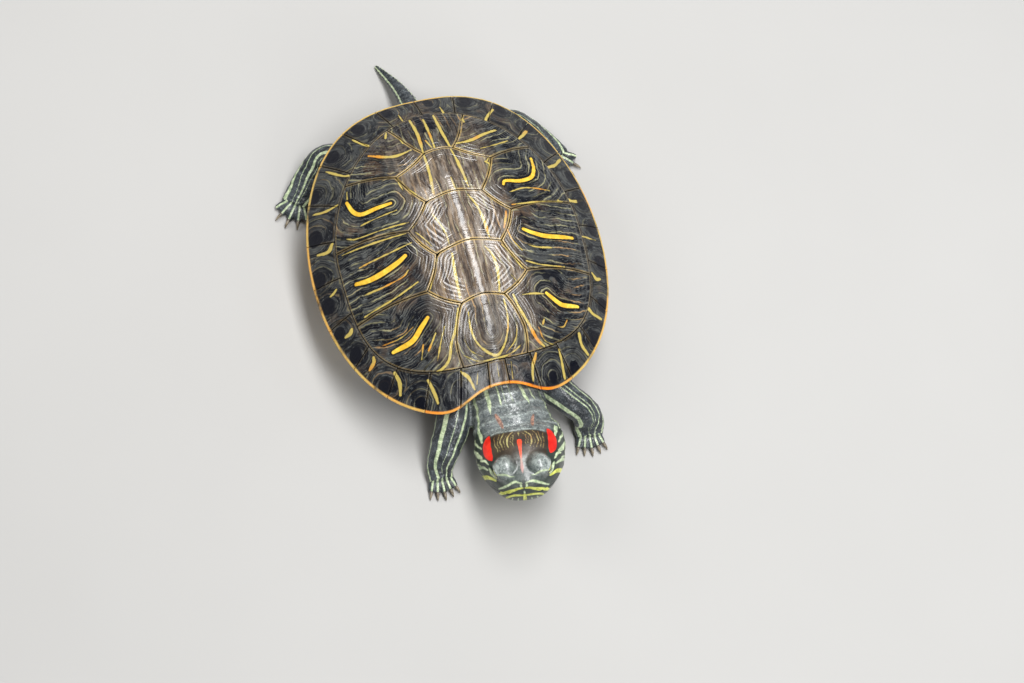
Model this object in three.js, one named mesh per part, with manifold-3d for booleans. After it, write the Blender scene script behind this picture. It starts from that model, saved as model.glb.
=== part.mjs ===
// Life-size model of a young red-eared slider turtle at rest, as one group of named solids.
// Units are millimetres, +Z is up, the head points along -Y and the turtle's left side is +X.
// The origin lies on the floor under the middle of the shell.
import * as THREE from "three";
import { mergeVertices } from "three/addons/utils/BufferGeometryUtils.js";
import Module from "manifold-3d";

const wasm = await Module();
wasm.setup();
const V = (x, y, z) => new THREE.Vector3(x, y, z);

// ---- Driving dimensions ----------------------------------------------------------------
const SHELL = {
  halfLength: 50,
  halfWidth: 43.9,
  cornerPower: 0.746, // how square the outline's corners are: 1 is an ellipse
  frontShare: 0.026, // how much wider the front half is than the rear half
  notch: 5.4, // how far the nape's edge is set back from the two front lobes
  notchSpread: 0.16,
  rimHeight: 15, // the lowest point of the rim, at mid length
  rimRise: 3.2, // the rim is this much higher at the front and at the rear
  domeHeight: 22.2, // from the rim to the top
  domePower: 2.5,
  keelHeight: 0.7,
  keelWidth: 3.2,
  thickness: 2.0,
};
const GAP = 0.32; // clearance between touching pieces
const SEAM = 0.36; // width of the cut between two scutes, in plan

// The oval seam between the costal and the marginal scutes.
const OVAL = { halfWidth: 36.4, front: 38.4, rear: 42, frontPower: 3.2, rearPower: 1.85 };

// Corners of the vertebral scutes on the left side (x, y); the right side mirrors them.
const CORNER = {
  nape: [2.7, -38.4],
  v1Front: [9.6, -38.2],
  v12: [6.4, -21.6],
  v2Wide: [14.9, -15.9],
  v23: [9.7, -6.1],
  v3Wide: [15.4, 3.0],
  v34: [8.4, 10.4],
  v4Wide: [14.5, 20.8],
  v45: [4.4, 26.4],
  v5Rear: [12.0, 39.6],
};
// Where the seams between neighbouring costal scutes meet the oval seam.
const COSTAL_END = [
  [35, -17.4],
  [36, 5.2],
  [28, 24.2],
];
// The twelve marginal scutes' shares of the rim, from the nape to the tail.
const MARGINAL_SHARE = [0.78, 0.85, 0.95, 1.05, 1.1, 1.1, 1.1, 1.05, 1.05, 1.0, 1.0, 0.97];
const NAPE_SHARE = 0.24;

const PLASTRON = {
  front: -44,
  rear: 46,
  halfWidth: 25,
  thickness: 3,
  lift: 0.9, // how far the two ends rise from the floor
};
const BRIDGE = { front: -19, rear: 18 };

const HEAD = {
  nose: [-1.7, -74.5, 24.8],
  yaw: -14, // degrees, towards the turtle's right
  pitch: 25, // degrees, nose up
  roll: 9, // degrees, left side up
  length: 24.5,
  // Sections behind the nose: distance, half width, top and bottom against the nose.
  sections: [
    [0.0, 2.9, 0.3, -4.2],
    [0.8, 5.0, 1.0, -7.8],
    [2.4, 7.0, 1.6, -10.4],
    [4.8, 8.8, 2.2, -11.6],
    [7.8, 10.7, 3.0, -12.2],
    [11.3, 12.2, 3.7, -12.6],
    [14.8, 12.9, 4.0, -12.5],
    [18.3, 13.2, 3.9, -12.0],
    [21.5, 12.9, 3.2, -11.2],
    [24.5, 12.0, 2.2, -10.0],
  ],
  eye: { back: 5.7, side: 5.2, up: -0.6, radius: 3.1 },
  brow: { back: 5.6, side: 4.75, up: 0.3, radius: 3.7 },
  mouth: { front: -4.9, rear: -6.9, length: 13.5 },
};

// Stations of the neck and the tail: [x, y, z, half width, half height].
const NECK = [
  [0.6, -33.0, 12.6, 9.2, 7.2],
  [1.6, -42.0, 12.4, 10.0, 7.5],
  [2.3, -49.0, 12.0, 11.0, 8.0],
  [2.5, -55.5, 11.8, 12.0, 8.5],
];
const TAIL = [
  [0.6, 41.0, 10.5, 4.6, 4.2],
  [0.7, 48.5, 9.2, 3.7, 3.4],
  [0.4, 55.0, 7.0, 2.9, 2.7],
  [-0.9, 61.5, 4.4, 2.1, 1.9],
  [-2.8, 67.0, 2.2, 1.4, 1.3],
  [-4.8, 71.8, 0.6, 0.7, 0.7],
];

const SIDES = 14; // round a neck or head section
const LIMB_SIDES = 9;
const TOE_SIDES = 5;

// ---- Materials --------------------------------------------------------------------------
const material = (color, roughness) =>
  new THREE.MeshStandardMaterial({ color, roughness, metalness: 0 });
const MATERIAL = {
  scute: material(0x3a3a33, 0.3),
  plastron: material(0xc9a545, 0.4),
  skin: material(0x3c4a3c, 0.45),
  eye: material(0x8a9a3a, 0.1),
};

const turtle = new THREE.Group();

// ---- Solids and meshes ------------------------------------------------------------------
function solidOf(geometry) {
  const bare = geometry.clone();
  bare.deleteAttribute("normal");
  bare.deleteAttribute("uv");
  const merged = mergeVertices(bare, 1e-4);
  return new wasm.Manifold(
    new wasm.Mesh({
      numProp: 3,
      vertProperties: merged.attributes.position.array,
      triVerts: new Uint32Array(merged.index.array),
    }),
  );
}

function geometryOf(solid) {
  const mesh = solid.getMesh();
  const geometry = new THREE.BufferGeometry();
  geometry.setAttribute("position", new THREE.BufferAttribute(mesh.vertProperties, 3));
  geometry.setIndex(new THREE.BufferAttribute(mesh.triVerts, 1));
  geometry.computeVertexNormals();
  return geometry;
}

function place(name, shape, look) {
  const mesh = new THREE.Mesh(shape.isBufferGeometry ? shape : geometryOf(shape), look);
  mesh.name = name;
  turtle.add(mesh);
}

// The largest piece of a solid that cuts may have left in crumbs.
const largest = (solid) =>
  solid.decompose().reduce((best, piece) => (piece.volume() > best.volume() ? piece : best));

// A closed surface through rings of equally many points, with a point at each end.
function loft(rings, startPoint, endPoint) {
  const count = rings[0].length;
  const points = [startPoint, ...rings.flat(), endPoint];
  const at = (ring, i) => 1 + ring * count + ((i + count) % count);
  const index = [];
  for (let i = 0; i < count; i++) index.push(0, at(0, i + 1), at(0, i));
  for (let r = 0; r + 1 < rings.length; r++)
    for (let i = 0; i < count; i++) {
      index.push(at(r, i), at(r, i + 1), at(r + 1, i + 1));
      index.push(at(r, i), at(r + 1, i + 1), at(r + 1, i));
    }
  const last = rings.length - 1;
  for (let i = 0; i < count; i++) index.push(points.length - 1, at(last, i), at(last, i + 1));
  const geometry = new THREE.BufferGeometry().setFromPoints(points);
  geometry.setIndex(index);
  return geometry;
}

const middle = (points) =>
  points.reduce((sum, p) => sum.add(p), V(0, 0, 0)).multiplyScalar(1 / points.length);

// A lofted solid, turned the right way out whichever way its rings run.
function loftSolid(rings, startPoint = middle(rings[0]), endPoint = middle(rings.at(-1))) {
  const solid = solidOf(loft(rings, startPoint, endPoint));
  if (solid.volume() > 0) return solid;
  return solidOf(loft(rings.map((ring) => [...ring].reverse()), startPoint, endPoint));
}

// ---- The shell's surface ------------------------------------------------------------------
// A point of the outline in plan. t runs from 0 at the nape to PI at the tail on the left side.
function outline(t) {
  const s = Math.sin(t);
  const x = SHELL.halfWidth * Math.sign(s) * Math.abs(s) ** SHELL.cornerPower;
  const turn = Math.abs(t) / SHELL.notchSpread;
  return [
    x * (1 + SHELL.frontShare * Math.cos(t)),
    -SHELL.halfLength * Math.cos(t) + SHELL.notch * Math.exp(-turn * turn),
  ];
}

// How far out a plan point lies: 0 on the middle, 1 on the outline without its notch.
function outward(x, y) {
  let low = 1e-4;
  let high = 2;
  for (let i = 0; i < 30; i++) {
    const k = (low + high) / 2;
    const v = Math.min(1, Math.abs(y) / (k * SHELL.halfLength));
    const wide =
      SHELL.halfWidth *
      (1 - v * v) ** (SHELL.cornerPower / 2) *
      (1 - (SHELL.frontShare * y) / (k * SHELL.halfLength));
    const inside = Math.abs(y) < k * SHELL.halfLength && Math.abs(x) < k * wide;
    if (inside) high = k;
    else low = k;
  }
  return high;
}

function rim(y) {
  return SHELL.rimHeight + SHELL.rimRise * (y / SHELL.halfLength) ** 2;
}

function domeTop(x, y) {
  const keel = SHELL.keelHeight * Math.exp(-((x / SHELL.keelWidth) ** 2));
  const share = 1 - outward(x, y) ** SHELL.domePower;
  return rim(y) + SHELL.domeHeight * share + keel * Math.min(1, 2 * Math.max(0, share));
}

// A point at a depth under the dome's surface, measured square to it.
function underDome(x, y, depth) {
  const d = 0.4;
  const slopeX = (domeTop(x + d, y) - domeTop(x - d, y)) / (2 * d);
  const slopeY = (domeTop(x, y + d) - domeTop(x, y - d)) / (2 * d);
  const normal = V(-slopeX, -slopeY, 1).normalize();
  return V(x, y, domeTop(x, y)).addScaledVector(normal, -depth);
}

// ---- Scutes -------------------------------------------------------------------------------
// Plan points between corners, none further than step apart.
function trace(corners, step = 5) {
  const points = [];
  corners.forEach((a, i) => {
    const b = corners[(i + 1) % corners.length];
    const count = Math.max(1, Math.ceil(Math.hypot(b[0] - a[0], b[1] - a[1]) / step));
    for (let k = 0; k < count; k++)
      points.push([a[0] + ((b[0] - a[0]) * k) / count, a[1] + ((b[1] - a[1]) * k) / count]);
  });
  return points;
}

// A closed plan outline drawn in by a distance on every side.
function drawnIn(points, distance) {
  const area = points.reduce((sum, p, i) => {
    const q = points[(i + 1) % points.length];
    return sum + p[0] * q[1] - q[0] * p[1];
  }, 0);
  const turn = Math.sign(area);
  const edgeNormal = (a, b) => {
    const length = Math.hypot(b[0] - a[0], b[1] - a[1]);
    return [(-turn * (b[1] - a[1])) / length, (turn * (b[0] - a[0])) / length];
  };
  return points.map((p, i) => {
    const before = edgeNormal(points.at(i - 1), p);
    const after = edgeNormal(p, points[(i + 1) % points.length]);
    const sum = [before[0] + after[0], before[1] + after[1]];
    const scale = distance / Math.max(0.5, (sum[0] * sum[0] + sum[1] * sum[1]) / 2);
    return [p[0] + sum[0] * scale, p[1] + sum[1] * scale];
  });
}

// One scute: a curved plate over a plan outline, with rings that shrink towards its middle.
function scute(name, corners, step, shares = [0.66, 0.33]) {
  const edge = drawnIn(trace(corners, step), SEAM / 2);
  const centre = [0, 1].map((k) => edge.reduce((sum, p) => sum + p[k], 0) / edge.length);
  const ring = (share, depth) =>
    edge.map((p) => {
      const x = centre[0] + (p[0] - centre[0]) * share;
      const y = centre[1] + (p[1] - centre[1]) * share;
      return underDome(x, y, depth);
    });
  const rings = [
    ...shares.toReversed().map((share) => ring(share, 0)),
    ring(1, 0),
    ring(1, SHELL.thickness),
    ring(0.5, SHELL.thickness),
  ];
  const top = underDome(...centre, 0);
  const under = underDome(...centre, SHELL.thickness);
  place(name, loftSolid(rings, top, under), MATERIAL.scute);
}

// Plan curves from the nape to the tail on the left side, to be walked by length.
const STEPS = 720;
const curveOf = (pointAt) =>
  Array.from({ length: STEPS + 1 }, (_, i) => pointAt((Math.PI * i) / STEPS));
const rimCurve = curveOf(outline);
const ovalCurve = curveOf((t) => {
  const [reach, power] =
    t < Math.PI / 2 ? [-OVAL.front, OVAL.frontPower] : [OVAL.rear, OVAL.rearPower];
  return [
    OVAL.halfWidth * Math.sin(t) ** (2 / power),
    reach * Math.abs(Math.cos(t)) ** (2 / power),
  ];
});

function lengthsAlong(curve) {
  const lengths = [0];
  for (let i = 1; i < curve.length; i++) {
    const step = Math.hypot(curve[i][0] - curve[i - 1][0], curve[i][1] - curve[i - 1][1]);
    lengths.push(lengths[i - 1] + step);
  }
  return lengths;
}

// The part of a curve between two shares of its length, in count steps.
function stretch(curve, from, to, count) {
  const lengths = lengthsAlong(curve);
  return Array.from({ length: count + 1 }, (_, k) => {
    const wanted = (from + ((to - from) * k) / count) * lengths.at(-1);
    const i = Math.max(1, lengths.findIndex((length) => length >= wanted - 1e-9));
    const share = (wanted - lengths[i - 1]) / (lengths[i] - lengths[i - 1]);
    return [0, 1].map((c) => curve[i - 1][c] + (curve[i][c] - curve[i - 1][c]) * share);
  });
}

// The share of the oval's length at its point nearest a plan point.
function ovalShare([x, y]) {
  const away = ovalCurve.map((p) => Math.hypot(p[0] - x, p[1] - y));
  const lengths = lengthsAlong(ovalCurve);
  return lengths[away.indexOf(Math.min(...away))] / lengths.at(-1);
}

// The piece of the oval seam between the points nearest two plan points.
function ovalBetween(start, end, step = 6) {
  const [from, to] = [ovalShare(start), ovalShare(end)];
  const length = Math.abs(to - from) * lengthsAlong(ovalCurve).at(-1);
  return stretch(ovalCurve, from, to, Math.max(1, Math.round(length / step)));
}

const flip = (points) => points.map(([x, y]) => [-x, y]);
const both = (left) => [...left, ...flip(left).toReversed()];

function vertebralScutes() {
  const c = CORNER;
  const front = ovalBetween([0, -OVAL.front], c.v1Front);
  const rear = ovalBetween(c.v5Rear, [0, OVAL.rear]);
  const outlines = [
    [...front.slice(1), [10.2, -31], [8.6, -26], c.v12],
    [c.v12, c.v2Wide, c.v23],
    [c.v23, c.v3Wide, c.v34],
    [c.v34, c.v4Wide, c.v45],
    [c.v45, [8.6, 32.5], ...rear.slice(0, -1)],
  ];
  outlines.forEach((left, i) => scute(`scute_vertebral_${i + 1}`, both(left), 6));
}

function costalScutes() {
  const c = CORNER;
  const [end12, end23, end34] = COSTAL_END;
  const outlines = [
    [c.v12, [8.6, -26], [10.2, -31], ...ovalBetween(c.v1Front, end12), c.v2Wide],
    [c.v23, c.v2Wide, ...ovalBetween(end12, end23), c.v3Wide],
    [c.v34, c.v3Wide, ...ovalBetween(end23, end34), c.v4Wide],
    [c.v45, c.v4Wide, ...ovalBetween(end34, c.v5Rear), [8.6, 32.5]],
  ];
  outlines.forEach((left, i) => {
    scute(`scute_costal_left_${i + 1}`, left, 6.5);
    scute(`scute_costal_right_${i + 1}`, flip(left), 6.5);
  });
}

function marginalScutes() {
  const whole = MARGINAL_SHARE.reduce((sum, share) => sum + share, NAPE_SHARE);
  let from = NAPE_SHARE / whole;
  const napeRim = stretch(rimCurve, 0, from, 2);
  const napeInner = ovalBetween([0, -OVAL.front], CORNER.nape).at(-1);
  scute("scute_nuchal", both([...napeRim.slice(1), napeInner]), 8, [0.5]);
  MARGINAL_SHARE.forEach((share, i) => {
    const to = from + share / whole;
    const outer = stretch(rimCurve, from, to, 3);
    const inner = stretch(ovalCurve, from, to, 2);
    if (i === 0) inner[0] = napeInner;
    const left = [...outer, ...inner.toReversed()];
    scute(`scute_marginal_left_${i + 1}`, left, 8, [0.5]);
    scute(`scute_marginal_right_${i + 1}`, flip(left), 8, [0.5]);
    from = to;
  });
}

// ---- Plastron, bridges and trunk ------------------------------------------------------------
// The plastron's half width along the body.
function plastronHalfWidth(y) {
  const p = PLASTRON;
  const end = y < 0 ? y / p.front : y / p.rear;
  const round = (1 - Math.min(1, Math.abs(end)) ** 3.2) ** 0.5;
  return p.halfWidth * round * (y < 0 ? 1 : 0.97);
}

function plastronSolid(grow = 0) {
  const p = PLASTRON;
  const heights = [-1, -0.96, -0.85, -0.62, -0.35, 0, 0.35, 0.62, 0.85, 0.96, 1];
  const rings = heights.map((share) => {
    const y = share < 0 ? -share * (p.front - grow) : share * (p.rear + grow);
    const wide = Math.max(3.5, plastronHalfWidth(y)) + grow;
    const lift = p.lift * Math.max(0, (Math.abs(share) - 0.62) / 0.38) ** 2;
    return [
      V(-wide + 1.4, y, lift - grow),
      V(wide - 1.4, y, lift - grow),
      V(wide, y, lift + 0.9),
      V(wide - 0.5, y, p.thickness + grow),
      V(-wide + 0.5, y, p.thickness + grow),
      V(-wide, y, lift + 0.9),
    ];
  });
  return loftSolid(rings);
}

// The wall from the plastron's edge up to the marginal scutes, on the left side. It grows
// longer towards the top.
function bridgeSolid(grow = 0) {
  const count = 6;
  const length = BRIDGE.rear - BRIDGE.front + 2 * grow;
  const rings = Array.from({ length: count + 1 }, (_, i) => {
    const bottomY = BRIDGE.front - grow + (length * i) / count;
    const at = (x, z, flare) => {
      const y = bottomY * (1 + flare);
      return V(x + outline(Math.acos(-y / SHELL.halfLength))[0] - SHELL.halfWidth, y, z);
    };
    const top = (share, flare) => {
      const y = bottomY * (1 + flare);
      const rimX = outline(Math.acos(-y / SHELL.halfLength))[0];
      return underDome(rimX * share, y, SHELL.thickness + (GAP - grow));
    };
    const low = plastronHalfWidth(bottomY) + GAP + 0.1;
    return [
      V(low - grow, bottomY, 0.9 - grow),
      at(32, 2.0 - grow, 0.04),
      at(37.4 + grow, 5.4, 0.1),
      at(40.8 + grow, 10.0, 0.18),
      top(0.995, 0.24),
      top(0.9, 0.24),
      at(37.2 - grow, 10.4, 0.18),
      at(34.2 - grow, 6.8, 0.1),
      V(low + 2 - grow, bottomY, 3.2 + grow),
    ];
  });
  return loftSolid(rings);
}

// The body inside the shell. A grown copy keeps the limbs clear of it.
function trunkSolid(grow = 0) {
  const count = 26;
  const ring = (alongX, alongY, z, depth) =>
    Array.from({ length: count }, (_, i) => {
      const [x, y] = outline((2 * Math.PI * i) / count - Math.PI);
      const px = x * alongX + grow * Math.sign(x);
      const py = y * alongY + grow * Math.sign(y);
      return depth === undefined ? V(px, py, z) : underDome(px, py, depth - grow);
    });
  const depth = SHELL.thickness + GAP + 0.15;
  const floor = PLASTRON.thickness + GAP - grow;
  return loftSolid(
    [
      ring(0.5, 0.76, floor),
      ring(0.7, 0.8, 7),
      ring(0.8, 0.82, 11.5),
      ring(0.84, 0.84, 0, depth),
      ring(0.62, 0.62, 0, depth),
      ring(0.36, 0.36, 0, depth),
      ring(0.14, 0.14, 0, depth),
    ],
    V(0, 0, floor),
    underDome(0, 0, depth - grow),
  );
}

// Everything of the shell, grown by the clearance, to be cut from the flesh around it.
function shellKeepOut() {
  const count = 40;
  const ring = (share, depth) =>
    Array.from({ length: count }, (_, i) => {
      const [x, y] = outline((2 * Math.PI * i) / count - Math.PI);
      return underDome(x * share, y * share, depth);
    });
  const depths = [-GAP, SHELL.thickness + GAP];
  const dome = loftSolid(
    [
      ring(0.3, depths[0]),
      ring(0.7, depths[0]),
      ring(0.9, depths[0]),
      ring(1.008, depths[0]),
      ring(1.008, depths[1]),
      ring(0.9, depths[1]),
      ring(0.7, depths[1]),
      ring(0.3, depths[1]),
    ],
    underDome(0, 0, depths[0]),
    underDome(0, 0, depths[1]),
  );
  const left = bridgeSolid(GAP);
  return dome.add(plastronSolid(GAP)).add(left).add(left.mirror([1, 0, 0]));
}

// ---- Flesh ----------------------------------------------------------------------------------
// A round body along a line of stations: [x, y, z, half width, half height].
function sweep(stations, sides, steps) {
  const line = new THREE.CatmullRomCurve3(stations.map(([x, y, z]) => V(x, y, z)));
  const size = new THREE.CatmullRomCurve3(stations.map(([, , , w, h]) => V(w, h, 0)));
  const rings = [];
  for (let i = 0; i <= steps; i++) {
    const t = i / steps;
    const centre = line.getPoint(t);
    const along = line.getTangent(t);
    const across = V(along.y, -along.x, 0).normalize();
    const up = V(0, 0, 0).crossVectors(across, along);
    const { x: wide, y: high } = size.getPoint(t);
    rings.push(
      Array.from({ length: sides }, (_, k) => {
        const a = (2 * Math.PI * (k + 0.5)) / sides;
        return centre
          .clone()
          .addScaledVector(across, wide * Math.cos(a))
          .addScaledVector(up, high * Math.sin(a));
      }),
    );
  }
  return loftSolid(rings);
}

const thicker = (stations, by) => stations.map(([x, y, z, w, h]) => [x, y, z, w + by, h + by]);

// The pieces of a solid that slabs part, in order along a line from its root.
function partedAlong(solid, line, cuts) {
  const curve = new THREE.CatmullRomCurve3(line.map(([x, y, z]) => V(x, y, z)));
  let rest = solid;
  return [...cuts, 1].map((t) => {
    if (t === 1) return largest(rest);
    const point = curve.getPoint(t);
    const along = curve.getTangent(t).normalize();
    const offset = along.dot(point);
    const near = rest.trimByPlane(along.clone().negate().toArray(), -offset + GAP / 2);
    rest = rest.trimByPlane(along.toArray(), offset + GAP / 2);
    return largest(near);
  });
}

// ---- Limbs ------------------------------------------------------------------------------------
// Stations of each limb from inside the shell to the foot: [x, y, z, half width, half height].
const FORE_RIGHT = {
  stations: [
    [-11.0, -34.0, 11, 6.0, 5.6],
    [-11.8, -43.0, 10.8, 5.7, 5.3],
    [-14.6, -49.8, 9.6, 5.3, 4.9],
    [-17.8, -54.6, 7.0, 4.7, 4.1],
    [-20.0, -58.6, 3.6, 4.1, 2.8],
    [-20.2, -61.6, 1.3, 3.8, 1.6],
  ],
  cuts: [0.42, 0.76],
  heading: [0, -1],
  toes: 5,
  toeLength: 3.0,
  spread: 44,
  clawLength: 2.3,
};
const FORE_LEFT = {
  stations: [
    [12.5, -33.5, 11, 6.2, 5.6],
    [16.4, -42.6, 11.0, 5.5, 5.1],
    [20.8, -49.0, 10.2, 4.8, 4.6],
    [24.6, -52.6, 8.0, 4.6, 4.1],
    [26.2, -55.2, 4.9, 4.7, 3.3],
    [26.0, -57.3, 2.7, 4.6, 2.3],
    [25.7, -59.0, 1.3, 4.2, 1.6],
  ],
  cuts: [0.4, 0.72],
  heading: [-0.06, -1],
  toes: 5,
  toeLength: 3.0,
  spread: 48,
  clawLength: 2.3,
};
const HIND_RIGHT = {
  stations: [
    [-15.0, 29.0, 10.5, 6.6, 5.6],
    [-21.0, 36.5, 10.2, 6.0, 5.2],
    [-28.2, 41.6, 7.4, 4.9, 4.4],
    [-33.4, 39.6, 4.6, 4.2, 3.2],
    [-37.2, 35.4, 2.6, 4.6, 2.2],
    [-40.0, 31.8, 1.2, 4.8, 1.5],
  ],
  cuts: [0.36, 0.58],
  heading: [-0.62, -0.78],
  toes: 5,
  toeLength: 4.4,
  spread: 74,
  clawLength: 2.6,
};
const HIND_LEFT = {
  stations: [
    [15.0, 29.0, 10.5, 6.6, 5.6],
    [21.6, 36.0, 10.2, 6.0, 5.2],
    [29.4, 40.2, 7.4, 4.9, 4.4],
    [35.0, 37.4, 4.6, 4.2, 3.2],
    [39.0, 32.4, 2.6, 4.6, 2.2],
    [41.4, 28.4, 1.2, 4.8, 1.5],
  ],
  cuts: [0.36, 0.58],
  heading: [0.5, -0.86],
  toes: 5,
  toeLength: 4.4,
  spread: 74,
  clawLength: 2.6,
};

// The toes and claws at the end of a limb, fanned out on the floor. The hind foot's fifth
// toe has no claw.
function toes(limb, bareToes) {
  const [x, y] = limb.stations.at(-1);
  const heading = Math.atan2(limb.heading[1], limb.heading[0]);
  return Array.from({ length: limb.toes }, (_, i) => {
    const share = i / (limb.toes - 1) - 0.5;
    const a = heading + THREE.MathUtils.degToRad(limb.spread) * share;
    const reach = 1 - 0.55 * Math.abs(share);
    const rootX = x + 5.0 * share * -Math.sin(heading);
    const rootY = y + 5.0 * share * Math.cos(heading);
    const at = (d, z, r) => [rootX + d * Math.cos(a), rootY + d * Math.sin(a), z, r, r];
    const tip = limb.toeLength * reach + 1;
    const toe = sweep([at(-1, 1.1, 1.3), at(tip * 0.5, 1.05, 1.25), at(tip, 0.85, 0.95)], TOE_SIDES, 2);
    if (bareToes.includes(i)) return toe;
    const claw = sweep(
      [
        at(tip - 0.6, 1.0, 0.62),
        at(tip + limb.clawLength * 0.45, 1.15, 0.48),
        at(tip + limb.clawLength, 0.42, 0.26),
      ],
      TOE_SIDES,
      2,
    );
    return toe.add(claw);
  });
}

const floorCut = solidOf(new THREE.BoxGeometry(400, 400, 20).translate(0, 0, -10));

function limb(shape, names, bareToes, keepOut) {
  const whole = toes(shape, bareToes).reduce(
    (sum, toe) => sum.add(toe),
    sweep(shape.stations, LIMB_SIDES, 9),
  );
  const clear = largest(whole.subtract(keepOut).subtract(floorCut));
  partedAlong(clear, shape.stations, shape.cuts).forEach((piece, i) =>
    place(names[i], piece, MATERIAL.skin),
  );
}

// ---- Head and neck ------------------------------------------------------------------------------
const headFrame = (() => {
  const yaw = THREE.MathUtils.degToRad(HEAD.yaw);
  const pitch = THREE.MathUtils.degToRad(HEAD.pitch);
  const forward = V(
    Math.sin(yaw) * Math.cos(pitch),
    -Math.cos(yaw) * Math.cos(pitch),
    Math.sin(pitch),
  );
  const level = V(Math.cos(yaw), Math.sin(yaw), 0);
  const upright = V(0, 0, 0).crossVectors(level, forward);
  if (upright.z < 0) upright.negate();
  const roll = THREE.MathUtils.degToRad(HEAD.roll);
  return {
    forward,
    side: level.clone().multiplyScalar(Math.cos(roll)).addScaledVector(upright, Math.sin(roll)),
    up: upright.clone().multiplyScalar(Math.cos(roll)).addScaledVector(level, -Math.sin(roll)),
  };
})();

// A point of the head: distance behind the nose, to the left, and above the nose.
function headPoint(back, left, above) {
  return V(...HEAD.nose)
    .addScaledVector(headFrame.forward, -back)
    .addScaledVector(headFrame.side, left)
    .addScaledVector(headFrame.up, above);
}

// One section of the head, flat on the crown and full at the cheeks.
function headRing([back, wide, top, bottom]) {
  const high = (top - bottom) / 2;
  const mid = (top + bottom) / 2;
  return Array.from({ length: SIDES }, (_, k) => {
    const a = (2 * Math.PI * (k + 0.5)) / SIDES;
    const power = (v, p) => Math.sign(v) * Math.abs(v) ** p;
    const across = wide * power(Math.cos(a), 0.86) * (1 - 0.13 * Math.max(0, Math.sin(a)));
    return headPoint(back, across, mid + high * power(Math.sin(a), 0.8));
  });
}

function ball(centre, radius, detail = 10) {
  const geometry = new THREE.SphereGeometry(radius, detail, detail * 0.75);
  return solidOf(geometry.translate(centre.x, centre.y, centre.z));
}

// Places the head's pieces and the neck, and returns the head grown by the clearance.
function headAndNeck(keepOut) {
  const { eye, brow, mouth } = HEAD;
  let head = loftSolid(HEAD.sections.map(headRing), headPoint(-0.5, 0, -1.8));
  for (const side of [1, -1])
    head = head.add(ball(headPoint(brow.back, side * brow.side, brow.up), brow.radius));
  for (const side of [1, -1]) {
    const centre = headPoint(eye.back, side * eye.side, eye.up);
    head = head.subtract(ball(centre, eye.radius + GAP));
    place(side > 0 ? "eye_left" : "eye_right", ball(centre, eye.radius), MATERIAL.eye);
  }
  const neck = sweep(NECK, SIDES, 5);
  // The mouth line and the jaw's hinge part the lower jaw from the head.
  const lip = [
    headPoint(-4, 0, mouth.front + 0.35),
    headPoint(mouth.length, 0, mouth.rear),
    headPoint(mouth.length + 2.4, 0, -30),
    headPoint(-4, 0, -30),
  ];
  const jawBlock = loftSolid(
    [-20, 20].map((across) =>
      lip.map((p) => p.clone().addScaledVector(headFrame.side, across)),
    ),
  );
  const grown = loftSolid(
    [-20, 20].map((across) =>
      lip.map((p, i) =>
        p
          .clone()
          .addScaledVector(headFrame.side, across)
          .addScaledVector(headFrame.up, i < 2 ? GAP : 0)
          .addScaledVector(headFrame.forward, i === 1 || i === 2 ? -GAP : 0),
      ),
    ),
  );
  place("jaw", largest(head.intersect(jawBlock)), MATERIAL.skin);
  const skull = largest(head.subtract(grown));
  const skullGrown = loftSolid(
    HEAD.sections.map(([back, wide, top, bottom]) =>
      headRing([back, wide + GAP, top + GAP, bottom - GAP]),
    ),
    undefined,
    headPoint(HEAD.length + GAP, 0, -6),
  );
  place("head", skull, MATERIAL.skin);
  place("neck", largest(neck.subtract(skullGrown).subtract(keepOut)), MATERIAL.skin);
  return skullGrown;
}

// ---- The whole turtle ------------------------------------------------------------------------------
vertebralScutes();
costalScutes();
marginalScutes();
place("plastron", plastronSolid(), MATERIAL.plastron);
place("bridge_left", bridgeSolid(), MATERIAL.plastron);
place("bridge_right", bridgeSolid().mirror([1, 0, 0]), MATERIAL.plastron);
place("trunk", trunkSolid(), MATERIAL.skin);

const bodyKeepOut = shellKeepOut().add(trunkSolid(GAP));
const skullGrown = headAndNeck(bodyKeepOut);
const keepOut = bodyKeepOut.add(sweep(thicker(NECK, GAP), SIDES, 5)).add(skullGrown);
limb(FORE_LEFT, ["upper_arm_left", "forearm_left", "forefoot_left"], [], keepOut);
limb(FORE_RIGHT, ["upper_arm_right", "forearm_right", "forefoot_right"], [], keepOut);
limb(HIND_LEFT, ["thigh_left", "shank_left", "hindfoot_left"], [4], keepOut);
limb(HIND_RIGHT, ["thigh_right", "shank_right", "hindfoot_right"], [0], keepOut);
const tail = sweep(TAIL, LIMB_SIDES - 1, 8).subtract(keepOut).subtract(floorCut);
place("tail", largest(tail), MATERIAL.skin);

export default turtle;
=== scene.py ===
import math

import bmesh
import bpy
import numpy as np
from mathutils import Matrix, Vector, noise


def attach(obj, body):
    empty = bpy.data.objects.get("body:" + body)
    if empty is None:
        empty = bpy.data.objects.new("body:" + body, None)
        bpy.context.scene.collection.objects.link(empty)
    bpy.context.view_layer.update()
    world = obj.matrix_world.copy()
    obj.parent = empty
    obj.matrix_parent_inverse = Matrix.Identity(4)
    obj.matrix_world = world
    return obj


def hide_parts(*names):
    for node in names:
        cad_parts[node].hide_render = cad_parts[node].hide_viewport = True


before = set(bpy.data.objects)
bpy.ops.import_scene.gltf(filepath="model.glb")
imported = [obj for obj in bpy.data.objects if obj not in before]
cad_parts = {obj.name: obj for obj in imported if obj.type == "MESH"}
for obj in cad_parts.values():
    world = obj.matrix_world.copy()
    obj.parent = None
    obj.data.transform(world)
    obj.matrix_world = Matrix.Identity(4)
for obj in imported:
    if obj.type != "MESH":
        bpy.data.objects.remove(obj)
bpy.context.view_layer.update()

MM = 0.001
SIDES = (("left", 1), ("right", -1))
TURN = 2 * math.pi
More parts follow.
